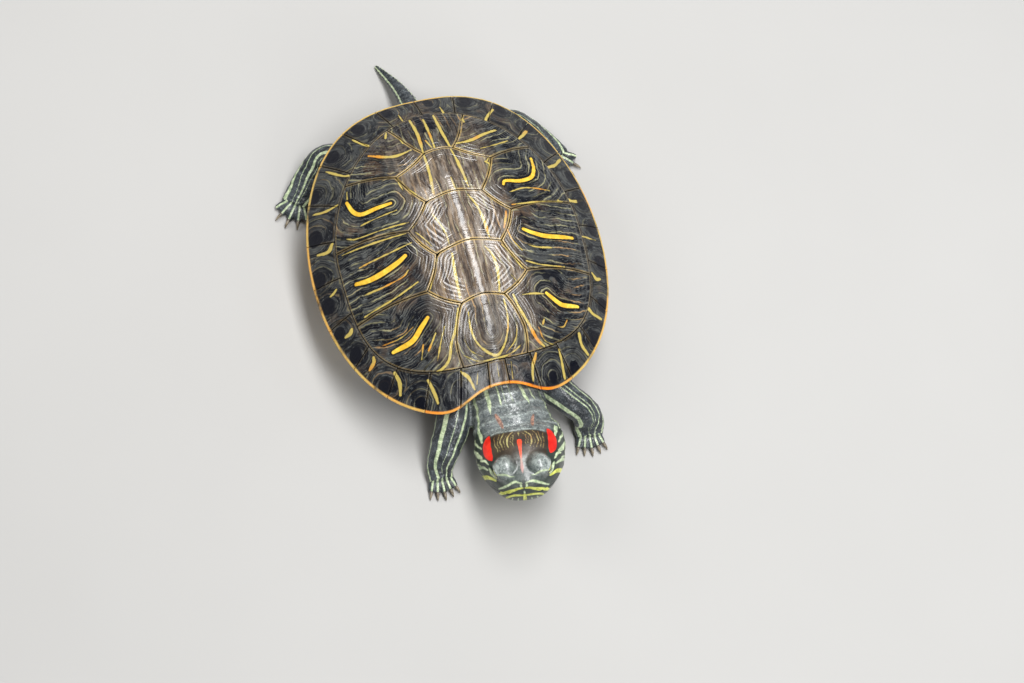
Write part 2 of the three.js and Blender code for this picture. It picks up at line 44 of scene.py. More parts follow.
FAR = 9.0  # the value, in millimetres, of a marking's distance field where that marking is absent

# ---- Shell, in millimetres ----------------------------------------------------------------
HALF_LENGTH, HALF_WIDTH = 50.0, 43.9
CORNER_POWER, FRONT_SHARE = 0.746, 0.026
NOTCH, NOTCH_SPREAD = 5.4, 0.16
RIM_HEIGHT, RIM_RISE = 15.0, 3.2
DOME_HEIGHT, DOME_POWER = 22.2, 2.5
KEEL_HEIGHT, KEEL_WIDTH = 0.7, 3.2
THICKNESS = 2.0
SEAM = 0.12
OVAL_WIDTH, OVAL_FRONT, OVAL_REAR = 36.4, 38.4, 42.0
OVAL_POWER_FRONT, OVAL_POWER_REAR = 3.2, 1.85


def outline(t):
    """The shell's rim in plan, at an angle t from the nose round the turtle's left side."""
    s = np.sin(t)
    x = HALF_WIDTH * np.sign(s) * np.abs(s) ** CORNER_POWER
    y = -HALF_LENGTH * np.cos(t) + NOTCH * np.exp(-((t / NOTCH_SPREAD) ** 2))
    return np.stack([x * (1 + FRONT_SHARE * np.cos(t)), y], -1)


def outward(x, y):
    """0 at the middle of the shell, 1 on its outline, for arrays of plan points."""
    x, y = np.abs(np.asarray(x, float)), np.asarray(y, float)
    low, high = np.full(x.shape, 1e-4), np.full(x.shape, 2.0)
    for _ in range(26):
        k = (low + high) / 2
        v = np.minimum(1, np.abs(y) / (k * HALF_LENGTH))
        wide = HALF_WIDTH * (1 - v * v) ** (CORNER_POWER / 2)
        wide = wide * (1 - FRONT_SHARE * y / (k * HALF_LENGTH))
        inside = (np.abs(y) < k * HALF_LENGTH) & (x < k * wide)
        high = np.where(inside, k, high)
        low = np.where(inside, low, k)
    return high


def dome_top(x, y):
    keel = KEEL_HEIGHT * np.exp(-((x / KEEL_WIDTH) ** 2))
    share = 1 - outward(x, y) ** DOME_POWER
    rim = RIM_HEIGHT + RIM_RISE * (y / HALF_LENGTH) ** 2
    return rim + DOME_HEIGHT * share + keel * np.clip(2 * share, 0, 1)


def dome_point(x, y, depth):
    """Points at a depth under the dome, measured square to its surface."""
    d = 0.3
    slope_x = (dome_top(x + d, y) - dome_top(x - d, y)) / (2 * d)
    slope_y = (dome_top(x, y + d) - dome_top(x, y - d)) / (2 * d)
    normal = np.stack([-slope_x, -slope_y, np.ones_like(slope_x)], -1)
    normal /= np.linalg.norm(normal, axis=-1, keepdims=True)
    top = np.stack([x, y, dome_top(x, y)], -1)
    return top - normal * np.asarray(depth)[..., None]


# ---- Meshes ---------------------------------------------------------------------------------
def add_to_scene(name, data):
    thing = bpy.data.objects.new(name, data)
    bpy.context.scene.collection.objects.link(thing)
    return thing


def new_mesh(name, points, faces, fields=None):
    """A smooth mesh object from points in millimetres, faces of 3 or 4 corners, and point fields."""
    mesh = bpy.data.meshes.new(name)
    flat = np.concatenate([np.asarray(f).ravel() for f in faces])
    sizes = np.concatenate([np.full(len(f), np.asarray(f).shape[1]) for f in faces])
    starts = np.concatenate([[0], np.cumsum(sizes)[:-1]])
    mesh.vertices.add(len(points))
    mesh.vertices.foreach_set("co", (np.asarray(points) * MM).ravel())
    mesh.loops.add(len(flat))
    mesh.loops.foreach_set("vertex_index", flat.astype(np.int32))
    mesh.polygons.add(len(sizes))
    mesh.polygons.foreach_set("loop_start", starts.astype(np.int32))
    mesh.polygons.foreach_set("use_smooth", np.ones(len(sizes), bool))
    mesh.update(calc_edges=True)
    mesh.validate()
    for key, values in (fields or {}).items():
        add_field(mesh, key, values)
    return add_to_scene(name, mesh)


def add_field(mesh, key, values):
    data = mesh.attributes.new(key, "FLOAT", "POINT").data
    data.foreach_set("value", np.asarray(values, np.float32).ravel())


def following(count):
    """The numbers of a ring's points, and for each the number of the next one."""
    i = np.arange(count)
    return i, (i + 1) % count


def band(start, after, i, n):
    """Quads between two rings whose points are numbered from start and from after."""
    return np.stack([start + i, start + n, after + n, after + i], -1)


def fan(point, start, i, n):
    """Triangles from one point to the ring that is numbered from start."""
    return np.stack([np.full(len(i), point), start + n, start + i], -1)


def grid_faces(rows, count):
    """Quads between closed rows of points."""
    i, n = following(count)
    return np.vstack([band(r * count, (r + 1) * count, i, n) for r in range(rows - 1)])


def tube_mesh(rings):
    """Points and faces of a closed skin through rings, with a point at each end."""
    rows, count = rings.shape[:2]
    i, n = following(count)
    points = np.concatenate([rings.reshape(-1, 3), rings[0].mean(0)[None], rings[-1].mean(0)[None]])
    caps = np.concatenate([fan(rows * count, 0, i, n), fan(rows * count + 1, (rows - 1) * count, n, i)])
    return points, [grid_faces(rows, count), caps]


def join_closed(shapes, name):
    """One mesh of several closed skins, which may pass through each other."""
    points, quads, tris, first = [], [], [], 0
    for rings in shapes:
        p, (q, t) = tube_mesh(rings)
        points.append(p)
        quads.append(q + first)
        tris.append(t + first)
        first += len(p)
    return new_mesh(name, np.vstack(points), [np.vstack(quads), np.vstack(tris)])


def fix_normals(piece):
    work = bmesh.new()
    work.from_mesh(piece.data)
    bmesh.ops.recalc_face_normals(work, faces=work.faces)
    work.to_mesh(piece.data)
    work.free()


def finish_piece(piece, slot, material, *nodes):
    piece.data.materials.append(material)
    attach(piece, "root")
    if nodes:
        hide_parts(*nodes)


# ---- Curves and strokes ---------------------------------------------------------------------
def smooth_line(line, count=24):
    """A Catmull-Rom curve through a few points of any dimension."""
    p = np.asarray(line, float)
    p = np.vstack([2 * p[0] - p[1], p, 2 * p[-1] - p[-2]])
    out = []
    for u in np.linspace(0, len(p) - 3 - 1e-6, count):
        i = int(u)
        t = u - i
        a, b, c, d = p[i : i + 4]
        bend = (2 * a - 5 * b + 4 * c - d) * t**2 + (3 * b - a - 3 * c + d) * t**3
        out.append(0.5 * (2 * b + (c - a) * t + bend))
    return np.array(out)


def curve(path):
    """A stroke's line: straight between two points, and otherwise a curve through them."""
    if len(path) == 2:
        return np.asarray(path, float)
    return smooth_line(path, 24 if len(path) < 9 else 50)


def to_polyline(points, line):
    """Distance from plan points to a polyline, and the share of it at the nearest place."""
    line = np.asarray(line, float)
    best = np.full(len(points), 1e9)
    share = np.zeros(len(points))
    steps = np.linalg.norm(np.diff(line, axis=0), axis=1)
    total = steps.sum()
    walked = 0.0
    for a, b, length in zip(line[:-1], line[1:], steps):
        t = np.clip(((points - a) @ (b - a)) / max(length * length, 1e-9), 0, 1)
        away = np.linalg.norm(points - (a + t[:, None] * (b - a)), axis=1)
        share = np.where(away < best, (walked + t * length) / total, share)
        best = np.minimum(best, away)
        walked += length
    return best, share


def strokes(points, lines, blunt=0.55, tip=0.03):
    """Distance to the nearest stroke, less half its width, which falls to a blunt share at its tips."""
    field = np.full(len(points), FAR)
    for path, width in lines:
        away, share = to_polyline(points, curve(path))
        swell = np.sin(math.pi * np.clip(share, tip, 1 - tip)) ** 0.5
        field = np.minimum(field, away - width / 2 * (blunt + (1 - blunt) * swell))
    return field


def bell(value, middle, spread):
    return np.exp(-(((value - middle) / spread) ** 2))


def ramp(value, start, length):
    """0 up to start and 1 from start + length on; a negative length runs the other way."""
    return np.clip((value - start) / length, 0, 1)


# ---- Node materials -------------------------------------------------------------------------
class Value:
    """A number, colour or vector that a shader graph works out, so that + - * add its nodes."""

    def __init__(self, graph, socket):
        self.graph = graph
        self.socket = socket

    def __add__(self, other):
        return self.graph.math("ADD", self, other)

    def __sub__(self, other):
        return self.graph.math("SUBTRACT", self, other)

    def __rsub__(self, other):
        return self.graph.math("SUBTRACT", other, self)

    def __mul__(self, other):
        return self.graph.math("MULTIPLY", self, other)


class Graph:
    """A small helper to write a shader graph as expressions."""

    def __init__(self, name):
        self.material = bpy.data.materials.new(name)
        self.material.use_nodes = True
        self.tree = self.material.node_tree
        self.shader = next(n for n in self.tree.nodes if n.type == "BSDF_PRINCIPLED")

    def add(self, kind, **sockets):
        """A new node with its inputs set or linked; a name's _ stands for a space."""
        node = self.tree.nodes.new("ShaderNode" + kind)
        for key, value in sockets.items():
            self.link(value, node.inputs[key.replace("_", " ")])
        return node

    def link(self, value, socket):
        if isinstance(value, Value):
            self.tree.links.new(value.socket, socket)
        elif isinstance(value, tuple) and socket.type == "RGBA":
            socket.default_value = (*value, 1.0)
        else:
            socket.default_value = value

    def field(self, name):
        node = self.add("Attribute")
        node.attribute_name = name
        return Value(self, node.outputs["Fac"])

    def place(self, scale=(1, 1, 1)):
        coords = Value(self, self.add("TexCoord").outputs["Object"])
        return Value(self, self.add("Mapping", Vector=coords, Scale=scale).outputs["Vector"])

    def vector(self, x, y, z):
        return Value(self, self.add("CombineXYZ", X=x, Y=y, Z=z).outputs["Vector"])

    def noise(self, scale, detail, where=None, rough=0.55, warp=0.0):
        node = self.add("TexNoise", Vector=where or self.place(), Scale=scale, Detail=detail,
                        Roughness=rough, Distortion=warp)
        return Value(self, node.outputs["Fac"])

    def cell_edges(self, scale):
        node = self.add("TexVoronoi", Vector=self.place(), Scale=scale)
        node.feature = "DISTANCE_TO_EDGE"
        return Value(self, node.outputs["Distance"])

    def math(self, kind, *values):
        node = self.add("Math")
        node.operation = kind
        for value, socket in zip(values, node.inputs):
            self.link(value, socket)
        return Value(self, node.outputs[0])

    def highest(self, a, b):
        return self.math("MAXIMUM", a, b)

    def from_half(self, value):
        """How far the value's fraction is from a half: 0.5 at whole numbers."""
        return self.math("ABSOLUTE", self.math("FRACT", value) - 0.5)

    def step(self, value, low, high, first=0.0, last=1.0):
        """0 below low and 1 above high."""
        node = self.add("MapRange", Value=value, From_Min=low, From_Max=high, To_Min=first, To_Max=last)
        node.interpolation_type = "SMOOTHSTEP"
        return Value(self, node.outputs["Result"])

    def under(self, value, low, high):
        """1 below low and 0 above high."""
        return self.step(value, low, high, 1.0, 0.0)

    def mix(self, share, a, b):
        node = self.add("Mix")
        node.data_type = "RGBA"
        for key, value in (("Factor", share), ("A", a), ("B", b)):
            self.link(value, node.inputs[key])
        return Value(self, node.outputs["Result"])

    def bump(self, height, strength, distance, below=None):
        node = self.add("Bump", Strength=strength, Distance=distance, Height=height)
        if below:
            self.link(below, node.inputs["Normal"])
        return Value(self, node.outputs["Normal"])

    def set(self, **sockets):
        for key, value in sockets.items():
            self.link(value, self.shader.inputs[key.replace("_", " ")])
        return self.material


def horn_color(g, across, cloud, blotch, margin):
    """Dark mottled horn, brown along the keel, with pale dots that are painted glints; its streaks run with
    the grain.
    """
    along, seed = g.field("along"), g.field("seed")
    streak = g.noise(1.0, 5, g.vector(across * 1.5, along * 0.16, seed), 0.62)
    glint_speck = g.noise(1.0, 3, g.vector(across * 4.2, along * 1.1, seed), 0.6)
    lengthwise = g.noise(1.0, 4, g.place((820, 75, 0)), 0.6)
    dark = g.mix(g.step(streak, 0.38, 0.64), (0.005, 0.006, 0.010), (0.050, 0.053, 0.053))
    dark = g.mix(g.step(cloud, 0.50, 0.70) * 0.6, dark, (0.085, 0.090, 0.088))
    umber = g.mix(g.step(streak, 0.42, 0.66), (0.026, 0.014, 0.009), (0.105, 0.062, 0.034))
    dark = g.mix(g.step(g.noise(75, 3), 0.54, 0.66) * 0.8, dark, umber)
    dark = g.mix(blotch * 0.93, dark, (0.0022, 0.0028, 0.006))
    # Pale dots along the grain: painted glints of wet horn.
    dark = g.mix(g.step(glint_speck, 0.57, 0.68) * 0.55, dark, (0.17, 0.185, 0.18))
    dark = g.mix(margin * 0.15, dark, (0.005, 0.006, 0.009))
    brown = g.mix(g.step(streak, 0.36, 0.66), (0.040, 0.027, 0.020), (0.175, 0.125, 0.085))
    brown = g.mix(g.step(lengthwise, 0.52, 0.66) * 0.8, brown, (0.31, 0.225, 0.14))
    brown = g.mix(g.under(lengthwise, 0.34, 0.45) * 0.85, brown, (0.014, 0.010, 0.010))
    return g.mix(g.field("warm"), dark, brown)


def grain_lines(g, color, level, blotch, margin):
    """Fine pale lines along the grain, broken here and there."""
    keep = g.step(g.noise(130, 3), 0.42, 0.56) * (1 - blotch * 0.7)
    contour = g.under(g.from_half(level), 0.03, 0.12) * keep * (1 - margin * 0.6)
    hair = g.under(g.from_half(level * 3.1), 0.0, 0.22) * g.step(g.noise(190, 3), 0.40, 0.62) * 0.48
    hair = hair * (1 - g.highest(margin * 0.25, blotch * 0.65))
    tan = g.mix(g.step(g.noise(60, 2), 0.52, 0.64), (0.33, 0.31, 0.17), (0.40, 0.24, 0.10))
    color = g.mix(contour * 0.75, color, tan)
    return g.mix(hair, color, (0.20, 0.195, 0.16))


def seams_and_lines(g, color, cloud, margin):
    """Black seams with a tan band beside them, and thin yellow lines with dark outlines."""
    edge, line = g.field("edge"), g.field("line")
    band_share = g.step(g.field("warm"), 0.05, 0.4) * g.step(cloud, 0.36, 0.52) * 0.62 + 0.22
    beside = g.under(edge, 0.26, 0.62) * band_share
    color = g.mix(beside * (1 - margin * 0.7), color, (0.42, 0.29, 0.10))
    color = g.mix(g.under(edge, 0.0, 0.18), color, (0.009, 0.008, 0.007))
    color = g.mix(g.under(line, 0.0, 0.5) * 0.6, color, (0.007, 0.007, 0.008))
    yellow = g.mix(g.step(g.noise(70, 2), 0.54, 0.66), (0.45, 0.35, 0.09), (0.56, 0.24, 0.03))
    return g.mix(g.under(line + (g.noise(330, 3) - 0.5) * 0.7, -0.16, 0.1), color, yellow)


def spots_and_bars(g, color):
    """The black spots of the margin, and the bright bars with their black outlines."""
    bar = g.field("bar")
    ragged = g.field("spot") + (g.noise(420, 3) - 0.5) * 1.1
    color = g.mix(g.under(ragged, -0.1, 0.35) * 0.97, color, (0.0015, 0.002, 0.006))
    color = g.mix(g.under(bar, 0.1, 0.7) * 0.85, color, (0.005, 0.004, 0.005))
    bright = g.mix(g.step(g.noise(420, 3), 0.35, 0.7), (0.64, 0.37, 0.03), (0.78, 0.56, 0.07))
    return g.mix(g.under(bar, -0.14, 0.08), color, bright)


def painted_sheen_and_rim(g, color, cloud):
    """Painted sheen: pale lengthwise streaks along the keel that stand in for wet highlights, and the yellow
    rim with its orange patches.
    """
    # Pale streaks on the vertebral scutes: painted sheen of the wet shell.
    painted_keel_sheen = g.step(g.noise(500, 4, g.place((1, 0.25, 1))), 0.50, 0.62)
    color = g.mix(g.field("warm") * painted_keel_sheen * 0.35, color, (0.42, 0.37, 0.32))
    patch = g.field("orange") * (g.step(g.noise(60, 2), 0.42, 0.58) * 0.65 + 0.35)
    yellow = g.mix(patch, (0.56, 0.42, 0.12), (0.92, 0.25, 0.005))
    return g.mix(g.under(g.field("rim"), 0.55, 0.95) * g.step(cloud, 0.25, 0.5), color, yellow)


def scute_material():
    g = Graph("wet_carapace_horn")
    across = g.field("flow") + g.noise(110, 4, warp=0.4) * 3.4
    broad = g.vector(across * 0.50, g.field("along") * 0.11, g.field("seed") + 5.0)
    broad = g.noise(1.0, 3, broad, 0.5, 0.5)
    blotch = g.highest(g.step(broad, 0.50, 0.58), g.step(g.noise(210, 3, warp=0.5), 0.54, 0.63))
    cloud = g.noise(150, 5)
    margin = g.step(g.field("orange"), 0.05, 0.15)
    level = across * 0.46
    color = horn_color(g, across, cloud, blotch, margin)
    color = grain_lines(g, color, level, blotch, margin)
    color = seams_and_lines(g, color, cloud, margin)
    color = painted_sheen_and_rim(g, spots_and_bars(g, color), cloud)

    normal = g.bump(g.noise(900, 5), 0.22, 0.0002)
    normal = g.bump(g.step(g.from_half(level), 0.0, 0.16) * 0.5, 0.28, 0.0002, normal)
    normal = g.bump(g.noise(230, 3), 0.30, 0.0005, normal)
    gloss = g.field("gloss")
    rough = g.noise(260, 4) * 0.30 + (0.44 - gloss * 0.30)
    return g.set(Base_Color=color, Roughness=rough, Normal=normal, Specular_IOR_Level=0.32,
                 Coat_Roughness=0.12, Coat_Weight=gloss * (g.field("warm") * 0.5 + 0.25))


def plastron_material():
    g = Graph("yellow_plastron_horn")
    color = g.mix(g.step(g.noise(120, 5), 0.3, 0.7), (0.62, 0.38, 0.07), (0.74, 0.53, 0.16))
    wander = g.field("blotch") + (g.noise(160, 4) - 0.5) * 5.0
    color = g.mix(g.under(wander, -1.0, 0.6), color, (0.035, 0.032, 0.026))
    color = g.mix(g.under(g.math("ABSOLUTE", wander), 0.5, 1.3) * 0.6, color, (0.30, 0.17, 0.05))
    color = g.mix(g.under(g.field("seam"), 0.1, 0.4), color, (0.16, 0.09, 0.03))
    return g.set(Base_Color=color, Roughness=g.noise(240, 4) * 0.25 + 0.25,
                 Normal=g.bump(g.noise(700, 5), 0.2, 0.0002))


def plain_skin(g, cloud, fleck):
    """Dark skin of body and face with pale flecks, partly lighter scales and partly painted highlights; the
    brown crown with its fine lines; and the pale skin of the eyelids with painted glints, laid on where the
    pale field says, which also carries painted sheen and highlights.
    """
    body = g.mix(g.step(cloud, 0.35, 0.7), (0.011, 0.015, 0.019), (0.052, 0.062, 0.072))
    # Pale flecks on the dark skin: partly lighter scales, partly painted highlights of wet skin.
    body = g.mix(g.step(fleck, 0.50, 0.72) * 0.6, body, (0.15, 0.175, 0.185))
    face = g.mix(g.step(cloud, 0.35, 0.7), (0.012, 0.019, 0.016), (0.035, 0.048, 0.038))
    top = g.mix(g.step(cloud, 0.3, 0.7), (0.018, 0.013, 0.009), (0.062, 0.044, 0.028))
    color = g.mix(g.field("crown"), g.mix(g.field("head"), body, face), top)
    thread = g.mix(g.step(cloud, 0.4, 0.6), (0.30, 0.17, 0.06), (0.46, 0.42, 0.17))
    color = g.mix(g.under(g.field("thread"), -0.14, 0.10) * 0.85, color, thread)
    mottle = g.highest(g.step(g.noise(1300, 4), 0.36, 0.62) * 0.75, g.step(g.noise(560, 3), 0.45, 0.62))
    light = g.mix(mottle, (0.11, 0.13, 0.13), (0.37, 0.415, 0.39))
    # Bright sparkle on the eyelids: painted glints.
    light = g.mix(g.step(g.noise(2300, 2), 0.60, 0.72), light, (0.58, 0.62, 0.60))
    return g.mix(g.field("pale"), color, light)


def scarlet_color(g, cloud, fleck):
    """Scarlet temples; a middle stripe that turns orange and fades forwards; dull dashes on the neck."""
    back = g.field("back")
    middle = g.under(g.field("sideways"), 2.0, 3.0)
    color = g.mix(g.step(cloud, 0.35, 0.65), (0.52, 0.008, 0.005), (0.82, 0.035, 0.016))
    color = g.mix(middle * g.under(back, 7.6, 10.4), color, (0.60, 0.10, 0.05))
    color = g.mix(middle * 0.5, color, (0.74, 0.09, 0.02))
    faint = g.mix(g.step(back, 4.6, 6.2), (0.36, 0.19, 0.17), (0.38, 0.24, 0.20))
    color = g.mix(middle * g.under(back, 6.4, 8.2), color, faint)
    dull = g.mix(g.step(fleck, 0.42, 0.6), (0.21, 0.115, 0.085), (0.44, 0.25, 0.18))
    return g.mix(g.step(back, 17.6, 18.2), color, dull)


def skin_material():
    g = Graph("damp_scaly_skin")
    cloud, fleck, cells = g.noise(210, 5), g.noise(900, 4), g.cell_edges(1500)
    head = g.field("head")
    green = g.mix(g.step(fleck, 0.35, 0.65), (0.31, 0.40, 0.23), (0.62, 0.71, 0.46))
    lemon = g.mix(g.step(fleck, 0.35, 0.65), (0.42, 0.45, 0.045), (0.70, 0.73, 0.16))
    color = plain_skin(g, cloud, fleck)
    color = g.mix(g.under(g.field("stripe"), -0.16, 0.14), color, green)
    color = g.mix(g.under(g.field("yellow"), -0.14, 0.12), color, lemon)
    color = g.mix(g.under(g.field("red"), -0.16, 0.12), color, scarlet_color(g, cloud, fleck))
    # Dark lines in the creases between scales: painted shade, weaker on the head.
    creases = g.under(cells, 0.0, 0.10) * 0.42
    color = g.mix(creases * (1 - head * 0.8), color, (0.010, 0.012, 0.010))
    normal = g.bump(g.step(cells, 0.0, 0.16), 0.5 - head * 0.4, 0.0002)
    normal = g.bump(g.noise(2400, 3), 0.12, 0.0001, normal)
    return g.set(Base_Color=color, Roughness=g.noise(300, 4) * 0.3 + 0.2, Normal=normal,
                 Coat_Weight=g.field("pale") * 0.5 + 0.25, Coat_Roughness=0.12)


def eye_material():
    """A yellow-green iris with a dark bar through it, a dark outer ring and a round pupil."""
    g = Graph("wet_eye")
    out = g.field("out")
    iris = g.mix(g.step(g.noise(1800, 4), 0.35, 0.65), (0.30, 0.36, 0.05), (0.55, 0.60, 0.13))
    bar = g.math("ABSOLUTE", g.field("level")) + g.noise(900, 2) * 0.1
    color = g.mix(g.under(bar, 0.32, 0.46), iris, (0.010, 0.010, 0.008))
    color = g.mix(g.step(out, 1.55, 1.75), color, (0.012, 0.012, 0.010))
    color = g.mix(g.under(out, 0.62, 0.74), color, (0.002, 0.002, 0.002))
    return g.set(Base_Color=color, Roughness=g.noise(500, 2) * 0.04 + 0.04,
                 Coat_Weight=1.0, Coat_Roughness=0.02)


def claw_material():
    g = Graph("claw_horn")
    color = g.mix(g.step(g.noise(1100, 4), 0.3, 0.7), (0.11, 0.090, 0.060), (0.25, 0.21, 0.15))
    color = g.mix(g.under(g.field("along"), 0.0, 0.5), color, (0.04, 0.035, 0.03))
    return g.set(Base_Color=color, Roughness=g.noise(700, 3) * 0.2 + 0.22,
                 Normal=g.bump(g.noise(3000, 3), 0.15, 0.0001))


MATERIAL = {
    "scute": scute_material(),
    "plastron": plastron_material(),
    "skin": skin_material(),
    "eye": eye_material(),
    "claw": claw_material(),
}

# ---- Scutes -----------------------------------------------------------------------------------
CORNER = {
    "nape": (2.7, -38.4), "v1Front": (9.6, -38.2), "v1Side": (10.2, -31.0), "v1Low": (8.6, -26.0),
    "v12": (6.4, -21.6), "v2Wide": (14.9, -15.9), "v23": (9.7, -6.1), "v3Wide": (15.4, 3.0),
    "v34": (8.4, 10.4), "v4Wide": (14.5, 20.8), "v45": (4.4, 26.4), "v5Side": (8.6, 32.5),
    "v5Rear": (12.0, 39.6),
}
COSTAL_END = [(35, -17.4), (36, 5.2), (28, 24.2)]
MARGINAL_SHARE = [0.78, 0.85, 0.95, 1.05, 1.1, 1.1, 1.1, 1.05, 1.05, 1.0, 1.0, 0.97]
NAPE_SHARE = 0.24
# The yellow strokes on the marginal scutes, from the nape to the tail, and their black spots near the rim.
MARGIN_LINES = {
    "left": [
        ([(4.3, -39.4), (4.0, -43.6)], 0.35), ([(12, -38.7), (10.5, -41.6), (9.9, -45)], 0.95),
        ([(19.4, -38.4), (19.6, -42), (19.8, -45.6)], 0.9),
        ([(26.8, -34.6), (27, -37.5), (28.6, -40)], 1.05),
        ([(31.4, -27), (33, -29), (35.6, -30.2)], 0.95),
        ([(36.2, -17), (37.2, -18.6), (38.6, -18.4)], 1.05),
        ([(36.2, -5.6), (39, -5.9), (41, -6)], 0.5), ([(34.2, 8), (36, 6.2), (38.5, 6.4), (41, 7.4)], 0.9),
        ([(31.2, 17), (35, 18.6), (38.2, 21.6)], 0.95), ([(24.5, 26.6), (28, 29.4), (31.6, 33.2)], 0.95),
        ([(17, 34.2), (18.8, 37), (22, 40.4)], 0.95), ([(6.4, 40.6), (6.2, 44)], 0.5),
    ],
    "right": [
        ([(-5.6, -39.6), (-6.6, -43)], 0.35), ([(-10.6, -38.9), (-8.6, -41), (-7.4, -44)], 0.85),
        ([(-20, -38.6), (-19, -41.5), (-18.3, -44.6)], 0.95),
        ([(-28.4, -33.6), (-27.6, -36.5), (-28, -39.4)], 1.05),
        ([(-33, -27.4), (-33.2, -28.8), (-34.6, -30)], 1.0),
        ([(-36.8, -17.4), (-37.4, -18.3), (-38.8, -18.6)], 1.1),
        ([(-38.2, -4.6), (-38.9, -5.2), (-39.9, -5.6)], 0.8),
        ([(-36, 8.8), (-37.6, 7.2), (-40.2, 8)], 0.95),
        ([(-31.5, 19.8), (-35, 19.7), (-38.4, 21)], 0.75),
        ([(-25.6, 27.3), (-28, 28.6), (-31.4, 32.8)], 0.85),
        ([(-17.6, 34.5), (-19.5, 36.5), (-21.6, 40)], 0.8), ([(-6.2, 41.4), (-6.4, 44.4)], 0.5),
    ],
}
MARGIN_SPOTS = {
    "left": [(2.4, -43.9, 0.9), (8.6, -45.2, 0.9), (16.2, -45.0, 0.9), (23.4, -43.5, 1.2),
             (32.0, -36.0, 1.4), (37.4, -26.4, 1.4),
             (40.6, -13.4, 1.5), (40.9, -2.6, 1.3), (40.2, 6.4, 1.3), (39.6, 15.4, 1.5),
             (36.2, 26.4, 1.5), (31.2, 33.6, 1.4),
             (24.4, 40.4, 1.5), (14.6, 45.4, 1.3), (3.6, 47.0, 1.1)],
    "right": [(-2.4, -43.9, 0.9), (-11.3, -44.2, 0.9), (-23.0, -43.6, 1.2), (-31.6, -35.8, 1.4),
              (-37.4, -24.6, 1.3),
              (-40.0, -16.6, 1.0), (-41.2, -8.0, 1.5), (-41.6, 0.6, 1.4), (-39.8, 13.2, 1.6),
              (-36.8, 26.4, 1.4), (-28.4, 37.0, 1.5),
              (-19.0, 43.6, 1.5), (-9.4, 46.4, 1.2)],
}
HALF_TURN = np.linspace(0, math.pi, 1441)
RIM_CURVE = outline(HALF_TURN)


def mirrored(points):
    return np.asarray(points, float) * np.array([-1, 1])


RIM_LINE = np.vstack([mirrored(RIM_CURVE)[::-1], RIM_CURVE])[::6]


def oval_curve():
    """The seam between the marginal scutes and the others, from nape to tail on the left."""
    cos, sin = np.cos(HALF_TURN), np.sin(HALF_TURN)
    power = np.where(HALF_TURN < math.pi / 2, OVAL_POWER_FRONT, OVAL_POWER_REAR)
    reach = np.where(HALF_TURN < math.pi / 2, -OVAL_FRONT, OVAL_REAR)
    return np.stack([OVAL_WIDTH * np.abs(sin) ** (2 / power), reach * np.abs(cos) ** (2 / power)], -1)


OVAL_CURVE = oval_curve()


def lengths_of(line):
    return np.concatenate([[0], np.cumsum(np.linalg.norm(np.diff(line, axis=0), axis=1))])


def at_lengths(line, shares):
    """Points of a plan line at shares of its length."""
    lengths = lengths_of(line)
    return np.stack([np.interp(shares * lengths[-1], lengths, line[:, k]) for k in (0, 1)], -1)


def stretch(line, start, end, count):
    return at_lengths(line, np.linspace(start, end, count + 1))


def even_loop(points, count):
    return at_lengths(np.vstack([points, points[:1]]), np.linspace(0, 1, count, endpoint=False))


def oval_share(point):
    i = np.argmin(np.linalg.norm(OVAL_CURVE - np.asarray(point), axis=1))
    return lengths_of(OVAL_CURVE)[i] / lengths_of(OVAL_CURVE)[-1]


def oval_between(start, end, count=24):
    return stretch(OVAL_CURVE, oval_share(start), oval_share(end), count)


def bowed(a, b, bow=0.0, count=12):
    """Points from a towards b, without b, on a line that bows to its left."""
    a, b = np.asarray(a, float), np.asarray(b, float)
    t = np.linspace(0, 1, count, endpoint=False)[:, None]
    side = np.array([-(b - a)[1], (b - a)[0]])
    return a + (b - a) * t + side * bow * np.sin(math.pi * t)


def corner(key):
    """A named corner of the seams; a point stands for itself."""
    return np.asarray(CORNER[key] if isinstance(key, str) else key, float)


def chain(start, *steps):
    """Bowed lines from corner to corner, without the last; a step is a bow, a corner and maybe a count."""
    points = []
    for bow, end, *count in steps:
        points.append(bowed(corner(start), corner(end), bow, *count))
        start = end
    return np.vstack(points)


def turning(loop):
    """Above 0 for a loop that runs anticlockwise."""
    after = np.roll(loop, -1, 0)
    return np.sum(loop[:, 0] * after[:, 1] - after[:, 0] * loop[:, 1])


def drawn_in(loop, distance):
    """A closed plan outline, drawn in on every side."""
    tangent = np.roll(loop, -1, 0) - np.roll(loop, 1, 0)
    tangent /= np.maximum(np.linalg.norm(tangent, axis=1, keepdims=True), 1e-9)
    normal = np.stack([-tangent[:, 1], tangent[:, 0]], -1) * np.sign(turning(loop))
    return loop + normal * distance


def ring_shares(count, reach):
    """Shares from the middle to the border, closer together in the last few tenths of a millimetre."""
    edge = 0.8 / reach
    last = 1 - edge * np.array([0.8, 0.6, 0.42, 0.28, 0.17, 0.09, 0.03, 0])
    return np.concatenate([np.linspace(0, 1 - edge, count)[1:], last])


def wavy(points, scale, seed, amount):
    """A smooth wobble for plan points."""
    x, y = points[:, 0] * scale, points[:, 1] * scale
    waves = np.sin(1.7 * x + 0.9 * y + seed) + 0.6 * np.sin(-1.1 * x + 2.3 * y + 2.1 * seed)
    return amount * (waves + 0.4 * np.sin(3.9 * x - 3.1 * y + 0.7 * seed)) / 2


def rolled(edge, width, deepest=0.999):
    """0 inside a border, and rising to 1 over a quarter circle as wide as given."""
    roll = np.clip(1 - edge / width, 0, deepest)
    return 1 - np.sqrt(1 - roll**2)


